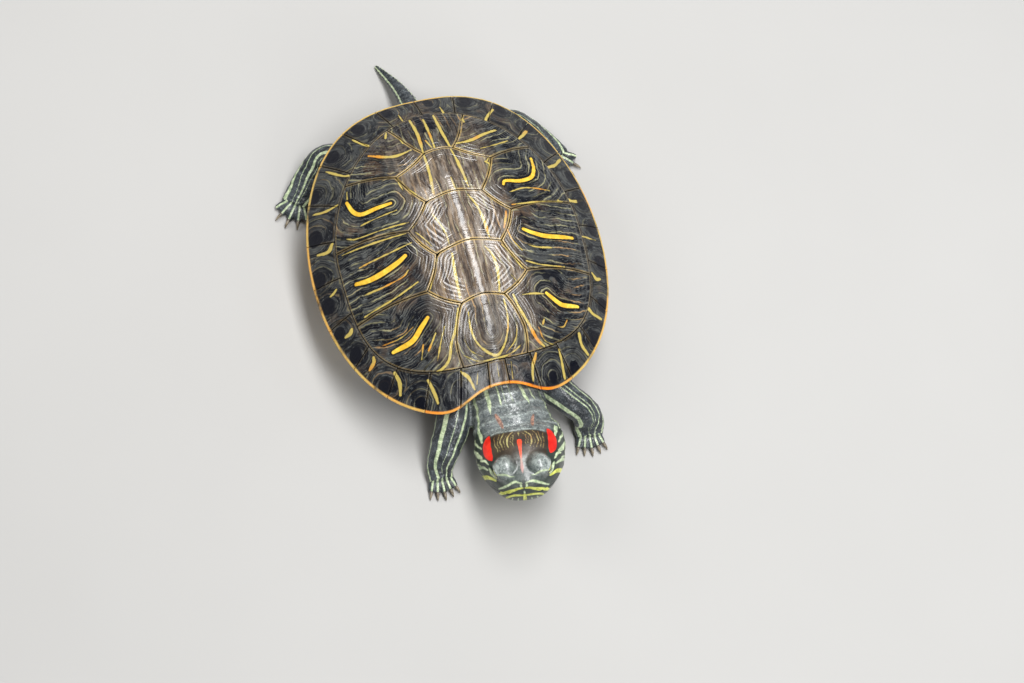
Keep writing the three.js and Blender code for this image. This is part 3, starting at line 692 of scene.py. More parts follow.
def scute_depth(flat, share, edge, grooves, seed):
    """How far a scute's points lie under the dome: its border rolls over, each growth ring is a step."""
    level = share + wavy(flat, 0.22, seed, 0.02)
    depth = 0.27 * rolled(edge, 0.34)
    for at, deep in grooves:
        depth = depth + deep * bell(level, at, 0.018)
    depth = depth + 0.030 * np.sin(level * 70) * ramp(share, 0.3, 1 / 3) * np.clip(edge, 0, 1)
    return np.maximum(depth + 0.05 + wavy(flat, 0.8, seed + 3, 0.03), 0)


def scute_faces(rows, count, flipped):
    """Rows on top and a middle point, a row under the border, a row on the floor, and the floor's middle."""
    i, n = following(count)
    middle, last = rows * count, (rows - 1) * count
    under = middle + 1
    ground = under + count
    quads = [grid_faces(rows, count), band(last, under, i, n), band(under, ground, i, n)]
    faces = [np.vstack(quads), np.vstack([fan(middle, 0, i, n), fan(ground + count, ground, n, i)])]
    return [f[:, ::-1] for f in faces] if flipped else faces


def scute_fields(plan, edge, marks, grain, warm, seed, gloss):
    """What the material reads at each point of a scute; distances are in millimetres."""
    ones = np.ones(len(plan))
    apart, along = grain(plan)
    return {
        "bar": strokes(plan, marks.get("bar", [])),
        "line": strokes(plan, marks.get("line", [])),
        "spot": strokes(plan, marks.get("spot", []), 1.0),
        "rim": to_polyline(plan, RIM_LINE)[0] if "orange" in marks else FAR * ones,
        "flow": apart,
        "along": along,
        "edge": edge,
        "seed": ones * seed * 3.7,
        "warm": warm(plan) if callable(warm) else ones * warm,
        "orange": ones * marks.get("orange", 0.0),
        "gloss": ones * gloss,
    }


def scute(name, loop, areola, rings, grooves, marks, grain, warm, seed, around, gloss=1.0):
    """One horny plate: growth rings round its areola, a rounded border, flat sides and a floor."""
    border = drawn_in(even_loop(loop, around), SEAM / 2)
    areola = np.asarray(areola, float)
    reach = np.linalg.norm(border - areola, axis=1).mean()
    shares = ring_shares(rings, reach)
    rows, count = len(shares), len(border)
    plan = areola + shares[:, None, None] * (border - areola)[None]
    flat = np.vstack([plan.reshape(-1, 2), areola[None]])
    share = np.concatenate([np.repeat(shares, count), [0.0]])
    edge, _ = to_polyline(flat, np.vstack([border, border[:1]]))

    top = dome_point(flat[:, 0], flat[:, 1], scute_depth(flat, share, edge, grooves, seed))
    below = np.vstack([border, areola + 0.5 * (border - areola), areola[None]])
    under = dome_point(below[:, 0], below[:, 1], np.full(len(below), THICKNESS))
    edge = np.concatenate([edge, np.zeros(count), np.full(count + 1, 2.0)])
    fields = scute_fields(np.vstack([flat, below]), edge, marks, grain, warm, seed, gloss)
    faces = scute_faces(rows, count, turning(border) > 0)
    piece = new_mesh(name, np.vstack([top, under]), faces, fields)
    finish_piece(piece, "carapace_scutes", MATERIAL["scute"], f"scute_{name}")


def grain_round(path):
    """The grain of a scute's colouring runs round this line: the distance from it and the way along it."""
    length = lengths_of(np.asarray(path, float))[-1]

    def fields(points):
        apart, share = to_polyline(points, curve(path))
        return apart, share * length

    return fields


def grain_round_spots(centres):
    """The grain of a marginal scute's colouring runs round its black spots."""
    def fields(points):
        apart = np.linalg.norm(points[:, None] - centres[None], axis=2)
        return apart.min(1), points @ np.array([0.6, 0.8])

    return fields


# ---- Scutes along the keel
VERTEBRAL_AREOLA = [(0, -30.0), (0, -11.5), (0, 4.5), (0, 19.5), (0, 33.0)]
KEEL_SEAM = [("v12", -0.09), ("v23", -0.10), ("v34", -0.08), ("v45", -0.05)]
VERTEBRAL_MARKS = [
    {"line": [([(-5.1, -24.4), (-5.4, -28.6), (-4.8, -32), (-3, -35), (0.3, -37.3), (3, -35.3), (4.8, -32),
                     (5.8, -28), (5.9, -22.8)], 0.62),
              ([(-8.9, -35.2), (-5, -37.5), (0.5, -38.0), (5, -37.3), (9.2, -35.2)], 0.35),
              ([(-8.0, -31), (-6.6, -34.5), (-3.2, -37.0)], 0.3),
              ([(8.4, -29), (6.9, -34), (3.4, -37.0)], 0.3)]},
    {"line": [([(5.2, -20.6), (6.2, -14.5), (5.9, -10), (4.4, -7.0)], 0.85),
              ([(-6.4, -20), (-6.1, -14), (-5.4, -7)], 0.9),
              ([(13.6, -15.4), (11.6, -11), (9.4, -7.4)], 0.5),
              ([(-13.9, -15.4), (-11.9, -11), (-9.8, -7.4)], 0.5),
              ([(11, -19), (9.6, -16.5)], 0.4)]},
    {"line": [([(6.5, -4.6), (6.3, 1), (5.5, 6), (4.0, 9.7)], 0.8),
              ([(-5.4, -4.2), (-5.6, 0), (-7.6, 6)], 0.5),
              ([(13.6, 2.6), (12.8, 0.2), (11.5, -2.6)], 0.8),
              ([(-14.2, 3.6), (-12.6, 6.6), (-10.2, 9.6)], 0.5),
              ([(13.9, 4.4), (12.0, 7.0), (10.2, 9.6)], 0.4),
              ([(-13.8, 2.2), (-11.6, -1), (-10.4, -3.4)], 0.45)]},
    {"line": [([(-4.6, 25.8), (-4.8, 20), (-5.6, 12.2)], 0.8), ([(3.6, 25.8), (4.3, 20), (4.9, 12)], 0.8),
              ([(-14.2, 20.2), (-13.2, 17), (-10.4, 13.4)], 0.7),
              ([(12.3, 19.6), (13.3, 18), (12, 14.2)], 0.8),
              ([(13.8, 20.8), (12.6, 19.4)], 0.5), ([(0.8, 12), (0.6, 16)], 0.5)]},
    {"line": [([(-4.3, 40.6), (-4.0, 34), (-4.5, 26.8)], 1.0), ([(3.0, 40.6), (3.0, 34), (3.6, 27.2)], 1.0),
              ([(-0.6, 39.5), (-0.7, 33), (-0.9, 27.4)], 0.8), ([(-2.6, 31), (-1.7, 27.8)], 0.5),
              ([(10.8, 37.2), (10.2, 34.8)], 0.8)],
     "spot": [([(-2.3, 40.8), (-2.1, 35.0)], 1.7), ([(1.0, 41.0), (0.9, 35.6)], 1.9)]},
]


def vertebral_warm(points):
    places = [-38, -24, -20, -8, 12, 24, 28, 40]
    along = np.interp(points[:, 1], places, [0.3, 0.42, 0.85, 0.9, 0.85, 0.65, 0.22, 0.08])
    return along * (1 - 0.4 * ramp(np.abs(points[:, 0]), 8, 7))


def vertebral_sides():
    """The left side of each vertebral scute's border, from front to rear."""
    front = oval_between((0, -OVAL_FRONT), CORNER["v1Front"], 14)
    rear = oval_between(CORNER["v5Rear"], (0, OVAL_REAR), 14)
    shoulder = chain(front[-1], (-0.04, "v1Side"), (-0.02, "v1Low"), (-0.03, "v12"))
    sides = [np.vstack([front[1:-1], shoulder])]
    for (ahead, _), (behind, _), wide, bow in zip(KEEL_SEAM, KEEL_SEAM[1:], "234", (-0.06, -0.06, -0.05)):
        sides.append(chain(ahead, (bow, f"v{wide}Wide"), (0.05, behind)))
    sides.append(np.vstack([chain("v45", (-0.04, "v5Side"), (0.02, rear[0])), rear[:-1]]))
    return sides


def keel_seam(number):
    key, bow = KEEL_SEAM[number]
    return bowed(CORNER[key], mirrored(CORNER[key]), bow, 20)


def vertebral_scutes():
    for i, left in enumerate(vertebral_sides()):
        loop = [left, mirrored(left)[::-1]]
        if i < len(KEEL_SEAM):
            loop.insert(1, keel_seam(i))
        if i > 0:
            loop.append(keel_seam(i - 1)[:0:-1])
        grain = [(0, -22), (0.3, -31)] if i == 0 else [(0, -60), (0, 60)]
        scute(f"vertebral_{i + 1}", np.vstack(loop), VERTEBRAL_AREOLA[i], 46,
              [(0.42, 0.05), (0.66, 0.07), (0.86, 0.08)],
              VERTEBRAL_MARKS[i], grain_round(grain), vertebral_warm, 1.3 + i, 200)


# ---- Scutes of the flanks
COSTAL_AREOLA = [(17.5, -25.0), (19.5, -5.2), (18.5, 12.6), (12.0, 29.0)]
BARS = {
    "left_1": [(19.0, -23.2), (21.7, -25.8), (23.7, -26.9), (28.2, -27.3)],
    "left_2": [(17.2, -3.7), (20, -5.2), (24.2, -6.4), (32.4, -6.7)],
    "left_3": [(15.4, 11.2), (16.4, 12.3), (20.9, 11.9), (25.1, 13.2), (26.9, 16.4), (27.3, 20)],
    "left_4": [(5.8, 27.6), (10.4, 27.9), (15.4, 29.8), (19.4, 31)],
    "right_1": [(-16.6, -22.9), (-18.9, -24.9), (-22.2, -27.6), (-27.6, -28.4)],
    "right_2": [(-18.3, -3.8), (-20.9, -5.1), (-25.6, -6.4), (-29.5, -6.7), (-32.8, -6.1)],
    "right_3": [(-18.0, 13.2), (-22, 13.3), (-26.3, 13.3), (-28.3, 15.2), (-29.2, 19)],
    "right_4": [(-7.6, 28.8), (-11.5, 28.1), (-14.9, 28.8), (-19.3, 31.4)],
}
# Where each bar's line runs on past its outer end; the stripes round it follow that line.
BEYOND = {"1": [(34, -26.5)], "2": [(38, -7)], "3": [(28.4, 24)], "4": [(23.5, 33.5)]}
BAR_WIDTH = {"left_1": 1.3, "left_2": 1.4, "left_3": 1.2, "left_4": 1.0,
             "right_1": 1.5, "right_2": 1.65, "right_3": 1.3, "right_4": 0.95}
COSTAL_LINES = {
    "left_1": [([(8.9, -22.4), (9.7, -26), (11.6, -31), (13.1, -35), (15.0, -37.2)], 0.95),
               ([(19.6, -36.7), (22.6, -35.9)], 0.6),
               ([(20.2, -32.5), (22.2, -32.6), (23.6, -31)], 0.4),
               ([(11.6, -22.8), (15, -22.9), (18.4, -23.4)], 0.4),
               ([(15.8, -31.4), (16.5, -30.2)], 0.5), ([(14.3, -32), (15.4, -35.6), (18.6, -37.4)], 0.35)],
    "left_2": [([(17.2, -8.6), (20, -9.6), (24.4, -10)], 0.45),
               ([(15.4, -13.4), (20, -15), (27, -15.9)], 0.45),
               ([(12.2, -2.4), (13, -6.6), (15, -10)], 0.5)],
    "left_3": [([(29.6, 4), (31, 4.4), (31.6, 5.6)], 0.6), ([(16.4, 8.4), (22, 9.5), (29.6, 8.7)], 0.4),
               ([(16, 4.3), (23, 4.6), (33, 5.3)], 0.4)],
    "left_4": [([(10.9, 35.6), (10.7, 38.6)], 0.7), ([(12.4, 24.4), (17, 25.2), (22, 26.6)], 0.4)],
    "right_1": [([(-7.7, -22.8), (-9.7, -28), (-11.7, -31.4), (-13, -35), (-15.6, -37),
                  (-19.6, -37.6)], 0.8),
                ([(-12.6, -26.6), (-14.6, -30.6), (-16.4, -34.6)], 0.5),
                ([(-15.4, -27.6), (-18.2, -31.4)], 0.5),
                ([(-19.4, -29.4), (-20.6, -33)], 0.4), ([(-21, -24), (-25, -25.6), (-30, -25.6)], 0.35)],
    "right_2": [([(-18.5, -8.2), (-20.5, -9.6), (-26, -10.3), (-31.4, -10.2)], 0.5),
                ([(-16.8, -12.4), (-24, -14.6), (-33, -16)], 0.5),
                ([(-15.6, -0.6), (-22, -1.4), (-31, -2)], 0.45),
                ([(-16.4, 2.6), (-25, 3.2), (-34.4, 4)], 0.45)],
    "right_3": [([(-17, 10.5), (-22, 10.3), (-27.4, 10)], 0.45),
                ([(-14.6, 5.6), (-20, 6), (-29, 6.6), (-32, 8)], 0.45),
                ([(-14.2, 19), (-13.6, 16)], 0.5), ([(-28.8, 20), (-28.2, 22.6)], 0.5)],
    "right_4": [([(-13, 36), (-12.2, 38)], 0.7), ([(-9, 32), (-9.6, 36)], 0.4)],
}


def costal_warm(points):
    return np.clip((17 - np.abs(points[:, 0])) / 10, 0, 0.4)


def costal_outlines():
    """The border of each left costal scute: outwards along its front, round the oval, and inwards."""
    ends = [CORNER["v1Front"], *COSTAL_END, CORNER["v5Rear"]]
    ovals = [oval_between(a, b) for a, b in zip(ends, ends[1:])]
    starts = [oval[0] for oval in ovals]
    outwards = [
        chain("v12", (0.03, "v1Low"), (0.02, "v1Side"), (0.04, starts[0])),
        chain("v23", (-0.05, "v2Wide"), (0.03, starts[1], 30)),
        chain("v34", (-0.05, "v3Wide"), (0.03, starts[2], 30)),
        chain("v45", (-0.05, "v4Wide"), (0.03, starts[3], 24)),
    ]
    inwards = [
        ((-0.03, "v2Wide", 30), (0.06, "v12")),
        ((-0.03, "v3Wide", 30), (0.06, "v23")),
        ((-0.03, "v4Wide", 24), (0.05, "v34")),
        ((-0.02, "v5Side"), (0.04, "v45")),
    ]
    parts = zip(outwards, ovals, inwards)
    return [np.vstack([there, oval[:-1], chain(oval[-1], *back)]) for there, oval, back in parts]


def costal_scutes():
    for side, flip in SIDES:
        for i, outline_left in enumerate(costal_outlines()):
            key = f"{side}_{i + 1}"
            bar = [(BARS[key], BAR_WIDTH[key])]
            marks = {"bar": bar, "line": COSTAL_LINES[key]}
            if i == 3:
                marks = {"line": COSTAL_LINES[key] + bar}
            grain = BARS[key] + [(x * flip, y) for x, y in BEYOND[key[-1]]]
            scute(f"costal_{key}", outline_left * [flip, 1], np.array(COSTAL_AREOLA[i]) * [flip, 1], 52,
                  [(0.30, 0.05), (0.55, 0.07), (0.76, 0.08), (0.91, 0.06)], marks, grain_round(grain),
                  costal_warm, 2.1 + i + (flip > 0) * 7, 230)


# ---- Scutes of the margin
def nuchal_scute(start):
    rim = stretch(RIM_CURVE, 0, start, 8)
    inner = oval_between((0, -OVAL_FRONT), CORNER["nape"], 6)
    left = np.vstack([rim[1:], bowed(rim[-1], inner[-1]), inner[:0:-1]])
    marks = {"orange": 0.6, "line": [([(0, -43.6), (0, -39.4)], 0.3)]}
    scute("nuchal", np.vstack([left, mirrored(left)[::-1]]), (0, -41.3), 18, [(0.7, 0.05)], marks,
          grain_round([(0, -50), (0, -30)]), 0.3, 9.0, 90)


def nearness(loop, point):
    return np.linalg.norm(loop - point, axis=1).min()


def marginal_scute(side, i, loop, outer, inner):
    """One marginal scute; it takes the strokes and spots that lie near its outline."""
    spots = [(x, y, r) for x, y, r in MARGIN_SPOTS[side] if nearness(loop, (x, y)) < 4]
    marks = {
        "line": [(path, width) for path, width in MARGIN_LINES[side] if nearness(loop, path[1]) < 6],
        "spot": [([(x, y - r * 0.4), (x + 0.01, y + r * 0.4)], 2 * r + 0.5) for x, y, r in spots],
        "orange": 1.0 if i < 2 else 0.3 if i < 7 else 0.16,
    }
    centres = np.array([(x, y) for x, y, r in spots] or [outer[0]])
    gloss = np.clip((-30 - outer[10][1]) / 12, 0.1, 1)
    flip = dict(SIDES)[side]
    scute(f"marginal_{side}_{i + 1}", loop, outer[10] * 0.5 + inner[8] * 0.5, 22,
          [(0.6, 0.05), (0.85, 0.05)],
          marks, grain_round_spots(centres), 0.0, 3.3 + 1.7 * i + flip, 100, gloss)


def marginal_scutes():
    whole = sum(MARGINAL_SHARE) + NAPE_SHARE
    start = NAPE_SHARE / whole
    nuchal_scute(start)
    for i, share in enumerate(MARGINAL_SHARE):
        end = start + share / whole
        outer = stretch(RIM_CURVE, start, end, 20)
        inner = stretch(OVAL_CURVE, start if i else oval_share(CORNER["nape"]), end, 16)
        ends = bowed(outer[-1], inner[-1]), bowed(inner[0], outer[0])
        loop = np.vstack([outer[:-1], ends[0], inner[:0:-1], ends[1]])
        for side, flip in SIDES:
            turn = np.array([flip, 1])
            marginal_scute(side, i, loop * turn, outer * turn, inner * turn)
        start = end


vertebral_scutes()
costal_scutes()
marginal_scutes()

# ---- Plastron and bridges -----------------------------------------------------------------------
PLASTRON_FRONT, PLASTRON_REAR, PLASTRON_WIDTH, PLASTRON_THICK, PLASTRON_LIFT = -44.0, 46.0, 25.0, 3.0, 0.9
PLASTRON_SIDES = 300
BRIDGE_FRONT, BRIDGE_REAR = -19.0, 18.0
PLASTRON_SEAMS = [
    [(0, -44), (0, 46)],
    [(-13, -42), (0, -33), (13, -42)],
    [(-25, -24), (-10, -20), (0, -19.5), (10, -20), (25, -24)],
    [(-26, -4), (0, -3), (26, -4)],
    [(-26, 19), (-10, 15.5), (0, 16), (10, 15.5), (26, 19)],
    [(-19, 36), (-8, 31), (0, 30.5), (8, 31), (19, 36)],
]
# Dark blotches: place and radius, in plan for the plastron and in space for the left bridge.
PLASTRON_BLOTCHES = [(9, -37, 3.4), (12, -29, 5), (12.5, -11, 6), (13, 6, 6.5), (12, 24, 5.5),
                     (8.5, 37, 4.2)]
BRIDGE_BLOTCHES = [(39, -15, 9, 2.6), (39.5, -4, 9, 3.0), (39.5, 6.5, 9, 3.0), (38.8, 16.0, 9, 2.6),
                   (29, -6, 2, 3.2), (29, 8, 2, 3.0)]
BRIDGE_SEAMS = (-9.5, 1.0, 11.5)


def plastron_end(y):
    """0 at the plastron's middle and 1 at either end."""
    return np.abs(np.where(y < 0, y / PLASTRON_FRONT, y / PLASTRON_REAR))


def plastron_half_width(y):
    rounding = (1 - np.minimum(1, plastron_end(y)) ** 3.2) ** 0.5
    return PLASTRON_WIDTH * rounding * np.where(y < 0, 1, 0.97)


def plastron_border():
    t = np.linspace(0, TURN, 260, endpoint=False)
    y = np.where(np.cos(t) > 0, PLASTRON_FRONT, PLASTRON_REAR) * np.abs(np.cos(t)) ** 0.8
    x = plastron_half_width(y * 0.999) * np.sign(np.sin(t))
    notch = 1.6 * bell(x, 0, 3.0) * (y > 0)
    return even_loop(np.stack([x, y - notch], -1), PLASTRON_SIDES)


def plastron():
    """The flat belly plate: twelve scutes parted by shallow grooves, each with a dark blotch."""
    border = plastron_border()
    shares = ring_shares(60, 30.0)
    plan = np.vstack([(shares[:, None, None] * border[None]).reshape(-1, 2), [[0, 0]]])
    seam = np.min([to_polyline(plan, curve(path))[0] for path in PLASTRON_SEAMS], 0)
    edge, _ = to_polyline(plan, np.vstack([border, border[:1]]))
    rounding = 1.2 * rolled(edge, 1.2) * 0.9
    lift = PLASTRON_LIFT * np.maximum(0, (plastron_end(plan[:, 1]) - 0.62) / 0.38) ** 2
    low = np.column_stack([plan, lift + 0.16 * bell(seam, 0, 0.28) + rounding])
    high = np.column_stack([plan, PLASTRON_THICK - 0.05 - rounding * 0.8])

    i, n = following(PLASTRON_SIDES)
    middle, last, offset = len(low) - 1, (len(shares) - 1) * PLASTRON_SIDES, len(low)
    quads, tris = grid_faces(len(shares), PLASTRON_SIDES), fan(middle, 0, i, n)
    wall = band(last, offset + last, i, n)
    faces = [np.vstack([quads, quads[:, ::-1] + offset, wall]), np.vstack([tris, tris[:, ::-1] + offset])]
    side = np.abs(plan[:, 0])
    blotch = np.min([np.hypot((side - x) * 0.9, plan[:, 1] - y) - r for x, y, r in PLASTRON_BLOTCHES], 0)
    piece = new_mesh("plastron_plate", np.vstack([low, high]), faces,
                     {"seam": np.tile(seam, 2), "blotch": np.tile(blotch, 2)})
    fix_normals(piece)
    finish_piece(piece, "plastron", MATERIAL["plastron"], "plastron")


def rim_x(y):
    t = np.arccos(np.clip(-y / HALF_LENGTH, -1, 1))
    return HALF_WIDTH * np.sin(t) ** CORNER_POWER * (1 + FRONT_SHARE * np.cos(t))


def beside_rim(x, z, y):
    """A point that follows the shell's rim along the body; x is its place where the shell is widest."""
    return [x + rim_x(y) - HALF_WIDTH, y, z]


def under_dome(share, y):
    """A point close under the dome, at a share of the way out to the rim."""
    return dome_point(np.array([rim_x(y) * share]), np.array([y]), np.array([THICKNESS + 0.35]))[0]


def bridge_row(y):
    """One closed section of the left bridge: outside from the plastron up to the dome, and back inside."""
    low = plastron_half_width(np.array(y)) + 0.2
    outer = [[low, y, 0.95], beside_rim(32, 2.1, y * 1.04), beside_rim(37.2, 5.5, y * 1.1),
             beside_rim(40.5, 10.0, y * 1.18), under_dome(0.99, y * 1.24)]
    inner = [under_dome(0.9, y * 1.24), beside_rim(37.3, 10.4, y * 1.18), beside_rim(34.4, 6.8, y * 1.1),
             [low + 2, y, 3.1]]
    return np.vstack([smooth_line(outer, 40), smooth_line(inner, 12)])


def bridge(side, flip):
    """The curved wall between the plastron and the rim, drawn as one smooth band."""
    rings = np.array([bridge_row(y) for y in np.linspace(BRIDGE_FRONT, BRIDGE_REAR, 60)]) * [flip, 1, 1]
    points, faces = tube_mesh(rings)
    seam = np.min([np.abs(points[:, 1] - y) for y in BRIDGE_SEAMS], 0)
    seam = np.where(np.abs(points[:, 0]) > 33, seam, FAR)
    away = [np.linalg.norm(points - [x * flip, y, z], axis=1) - r for x, y, z, r in BRIDGE_BLOTCHES]
    piece = new_mesh(f"bridge_wall_{side}", points, faces, {"seam": seam, "blotch": np.min(away, 0)})
    fix_normals(piece)
    finish_piece(piece, "plastron", MATERIAL["plastron"], f"bridge_{side}")


plastron()
for name, flip in SIDES:
    bridge(name, flip)

# ---- Flesh ----------------------------------------------------------------------------------------
# Stations are x, y, z, half width, half height, from inside the shell outwards.
NECK = [(0.4, -28, 12.6, 9.0, 7.0), (1.6, -42.0, 12.4, 10.0, 7.5), (2.3, -49.0, 12.0, 11.0, 8.0),
        (2.5, -55.5, 11.8, 11.9, 8.4),
        (2.2, -60.0, 12.2, 11.4, 7.6)]
TAIL = [(0.6, 38.0, 10.8, 4.8, 4.4), (0.7, 48.5, 9.2, 3.6, 3.4), (0.4, 55.0, 7.0, 2.8, 2.7),
        (-0.9, 61.5, 4.4, 2.0, 1.9),
        (-2.8, 67.0, 2.2, 1.3, 1.25), (-4.7, 71.4, 0.75, 0.62, 0.62)]
LIMBS = {
    "forefoot_left": {
        "stations": [(9, -27, 11, 6.4, 5.8), (12.5, -33.5, 11, 6.2, 5.6), (16.4, -42.6, 11.0, 5.4, 5.0),
                     (20.8, -49.0, 10.2, 4.7, 4.5),
                     (24.6, -52.6, 8.0, 4.5, 4.0), (26.2, -55.2, 5.0, 4.6, 3.2),
                     (26.0, -57.3, 2.8, 4.5, 2.3), (25.7, -59.0, 1.8, 4.1, 1.7)],
        "heading": (-0.06, -1), "toe": 3.0, "spread": 48, "claw": 2.3, "bare": ()},
    "forefoot_right": {
        "stations": [(-8.5, -26, 11, 6.2, 5.8), (-11.0, -34.0, 11, 6.0, 5.6),
                     (-11.8, -43.0, 10.8, 5.6, 5.2), (-14.6, -49.8, 9.6, 5.2, 4.8),
                     (-17.8, -54.6, 7.0, 4.6, 4.0), (-20.0, -58.6, 3.7, 4.0, 2.7),
                     (-20.2, -61.6, 1.8, 3.7, 1.7)],
        "heading": (0.0, -1), "toe": 3.0, "spread": 44, "claw": 2.3, "bare": ()},
    "hindfoot_left": {
        "stations": [(9, 22, 10.5, 7, 6), (15, 29, 10.5, 6.6, 5.6), (21.6, 36.0, 10.2, 5.9, 5.1),
                     (29.4, 40.2, 7.4, 4.8, 4.3),
                     (35.0, 37.4, 4.8, 4.1, 3.2), (39.0, 32.4, 2.8, 4.5, 2.2), (41.4, 28.4, 1.7, 4.7, 1.6)],
        "heading": (0.5, -0.86), "toe": 4.4, "spread": 74, "claw": 2.6, "bare": (4,)},
    "hindfoot_right": {
        "stations": [(-9, 22, 10.5, 7, 6), (-15, 29, 10.5, 6.6, 5.6), (-21.0, 36.5, 10.2, 5.9, 5.1),
                     (-28.2, 41.6, 7.4, 4.8, 4.3),
                     (-33.4, 39.6, 4.8, 4.1, 3.2), (-37.2, 35.4, 2.8, 4.5, 2.2),
                     (-40.0, 31.8, 1.7, 4.7, 1.6)],
        "heading": (-0.62, -0.78), "toe": 4.4, "spread": 74, "claw": 2.6, "bare": (0,)},
}
NOSE = np.array([-1.7, -74.5, 24.8])
YAW, PITCH, ROLL = math.radians(-14), math.radians(25), math.radians(9)
EYE_BACK, EYE_SIDE, EYE_UP, EYE_RADIUS = 5.7, 5.2, -0.6, 3.1
BROW_BACK, BROW_SIDE, BROW_UP, BROW_RADIUS = 5.6, 4.75, 0.3, 3.65
EYE_AXIS_LOCAL = np.array([0.26, 0.95, 0.10])  # forward, outward, up
# Distance behind the nose, half width, top above the nose's level, bottom.
HEAD_SECTIONS = np.array([
    (0.0, 2.9, 0.3, -4.2), (0.8, 5.0, 1.0, -7.8), (2.4, 7.0, 1.6, -10.4), (4.8, 8.8, 2.2, -11.6),
    (7.8, 10.7, 3.0, -12.2),
    (11.3, 12.2, 3.7, -12.6), (14.8, 12.9, 4.0, -12.5), (18.3, 13.2, 3.9, -12.0),
    (21.5, 12.9, 3.2, -11.2), (24.5, 12.0, 2.2, -10.0),
])
# Stripes along neck, limbs and tail: angles round them from the outer side over the top, and widths.
NECK_STRIPES = ([0.82, 1.24, 1.42, 1.70, 2.19, 2.45, 0.35, 2.85, -0.1, -0.5, -1.0, -1.57, -2.1, -2.6,
                 -2.98],
                [1.5, 0.7, 0.35, 0.45, 1.25, 0.6, 1.1, 1.1, 0.6, 0.8, 0.6, 0.9, 0.6, 0.8, 0.7])
HIND_STRIPES = ([0.3, 0.95, 1.6, 2.0, 2.7, -0.6, -1.6, -2.4], [0.9, 0.4, 1.0, 0.3, 0.7, 0.8, 0.9, 0.8])
LIMB_STRIPES = {
    "forefoot_left": ([0.43, 1.46, 1.72, 2.25, 2.9, -0.4, -1.2, -2.2],
                      [1.25, 0.36, 0.30, 0.5, 0.7, 0.8, 0.7, 0.8]),
    "forefoot_right": ([1.1, 2.25, 0.3, 1.75, 2.9, -0.5, -1.3, -2.2],
                       [1.2, 0.6, 0.55, 0.24, 0.7, 0.8, 0.7, 0.8]),
    "hindfoot_left": HIND_STRIPES,
    "hindfoot_right": HIND_STRIPES,
}
TAIL_STRIPES = ([0.62, 2.5, -0.5, -2.6], [0.62] * 4)
SKIN_TRIANGLES = 192_000
VOXEL, VOXEL_QUICK = 0.36, 0.55
SCALE_PITCH = 0.95  # scales to a millimetre


def head_axes():
    """Unit vectors forwards, to the left and upwards of the head."""
    level = math.cos(PITCH)
    forward = np.array([math.sin(YAW) * level, -math.cos(YAW) * level, math.sin(PITCH)])
    side = np.array([math.cos(YAW), math.sin(YAW), 0])
    up = np.cross(forward, side)
    up *= np.sign(up[2])
    cos, sin = math.cos(ROLL), math.sin(ROLL)
    return forward, side * cos + up * sin, up * cos - side * sin


FORWARD, SIDE, UP = head_axes()


def head_point(back, left, above):
    back, left, above = np.broadcast_arrays(back, left, above)
    return NOSE - back[..., None] * FORWARD + left[..., None] * SIDE + above[..., None] * UP


def head_local(points):
    d = points - NOSE
    return -d @ FORWARD, d @ SIDE, d @ UP


def limb_line(stations, steps):
    """A limb's smooth line of stations, with the directions across and up at each."""
    line = smooth_line(stations, steps)
    tangent = np.gradient(line[:, :3], axis=0)
    tangent /= np.linalg.norm(tangent, axis=1, keepdims=True)
    across = np.stack([tangent[:, 1], -tangent[:, 0], np.zeros(len(line))], -1)
    across /= np.maximum(np.linalg.norm(across, axis=1, keepdims=True), 1e-6)
    return line, across, np.cross(across, tangent)


def sweep(stations, sides, steps):
    """Elliptic rings along a limb's line."""
    line, across, up = limb_line(stations, steps)
    a = np.linspace(0, TURN, sides, endpoint=False)[None, :, None]
    wide, tall = line[:, None, 3:4], line[:, None, 4:5]
    return line[:, None, :3] + across[:, None] * np.cos(a) * wide + up[:, None] * np.sin(a) * tall


def signed_power(value, power):
    return np.sign(value) * np.abs(value) ** power


def head_rings():
    back = np.linspace(0, HEAD_SECTIONS[-1, 0], 60)
    wide, top, bottom = (np.interp(back, HEAD_SECTIONS[:, 0], HEAD_SECTIONS[:, k]) for k in (1, 2, 3))
    for values in (wide, top, bottom):
        values[1:-1] = (values[:-2] + 2 * values[1:-1] + values[2:]) / 4
    a = np.linspace(0, TURN, 64, endpoint=False)
    across = wide[:, None] * signed_power(np.cos(a), 0.86) * (1 - 0.13 * np.clip(np.sin(a), 0, 1))
    above = (top + bottom)[:, None] / 2 + (top - bottom)[:, None] / 2 * signed_power(np.sin(a), 0.8)
    return head_point(back[:, None], across, above)


def ball_rings(centre, radius):
    t = np.linspace(0.02, math.pi - 0.02, 24)[:, None]
    a = np.linspace(0, TURN, 36, endpoint=False)
    return centre + radius * np.stack([np.sin(t) * np.cos(a), np.sin(t) * np.sin(a), np.cos(t) + 0 * a], -1)


def toe_lines(limb):
    """For each toe: its root, direction in plan and reach."""
    x, y = limb["stations"][-1][:2]
    heading = math.atan2(limb["heading"][1], limb["heading"][0])
    toes = []
    for share in (-0.5, -0.25, 0, 0.25, 0.5):
        a = heading + math.radians(limb["spread"]) * share
        root = np.array([x - 5.0 * share * math.sin(heading), y + 5.0 * share * math.cos(heading)])
        toes.append((root, np.array([math.cos(a), math.sin(a)]), limb["toe"] * (1 - 0.55 * abs(share)) + 1))
    return toes


def toe_rings(root, way, tallness, stations, steps):
    """A toe or claw through stations, which are a distance along it, a height and a radius."""
    path = [(*(root + way * d), z, r, r * tallness) for d, z, r in stations]
    return sweep(path, 20, steps)


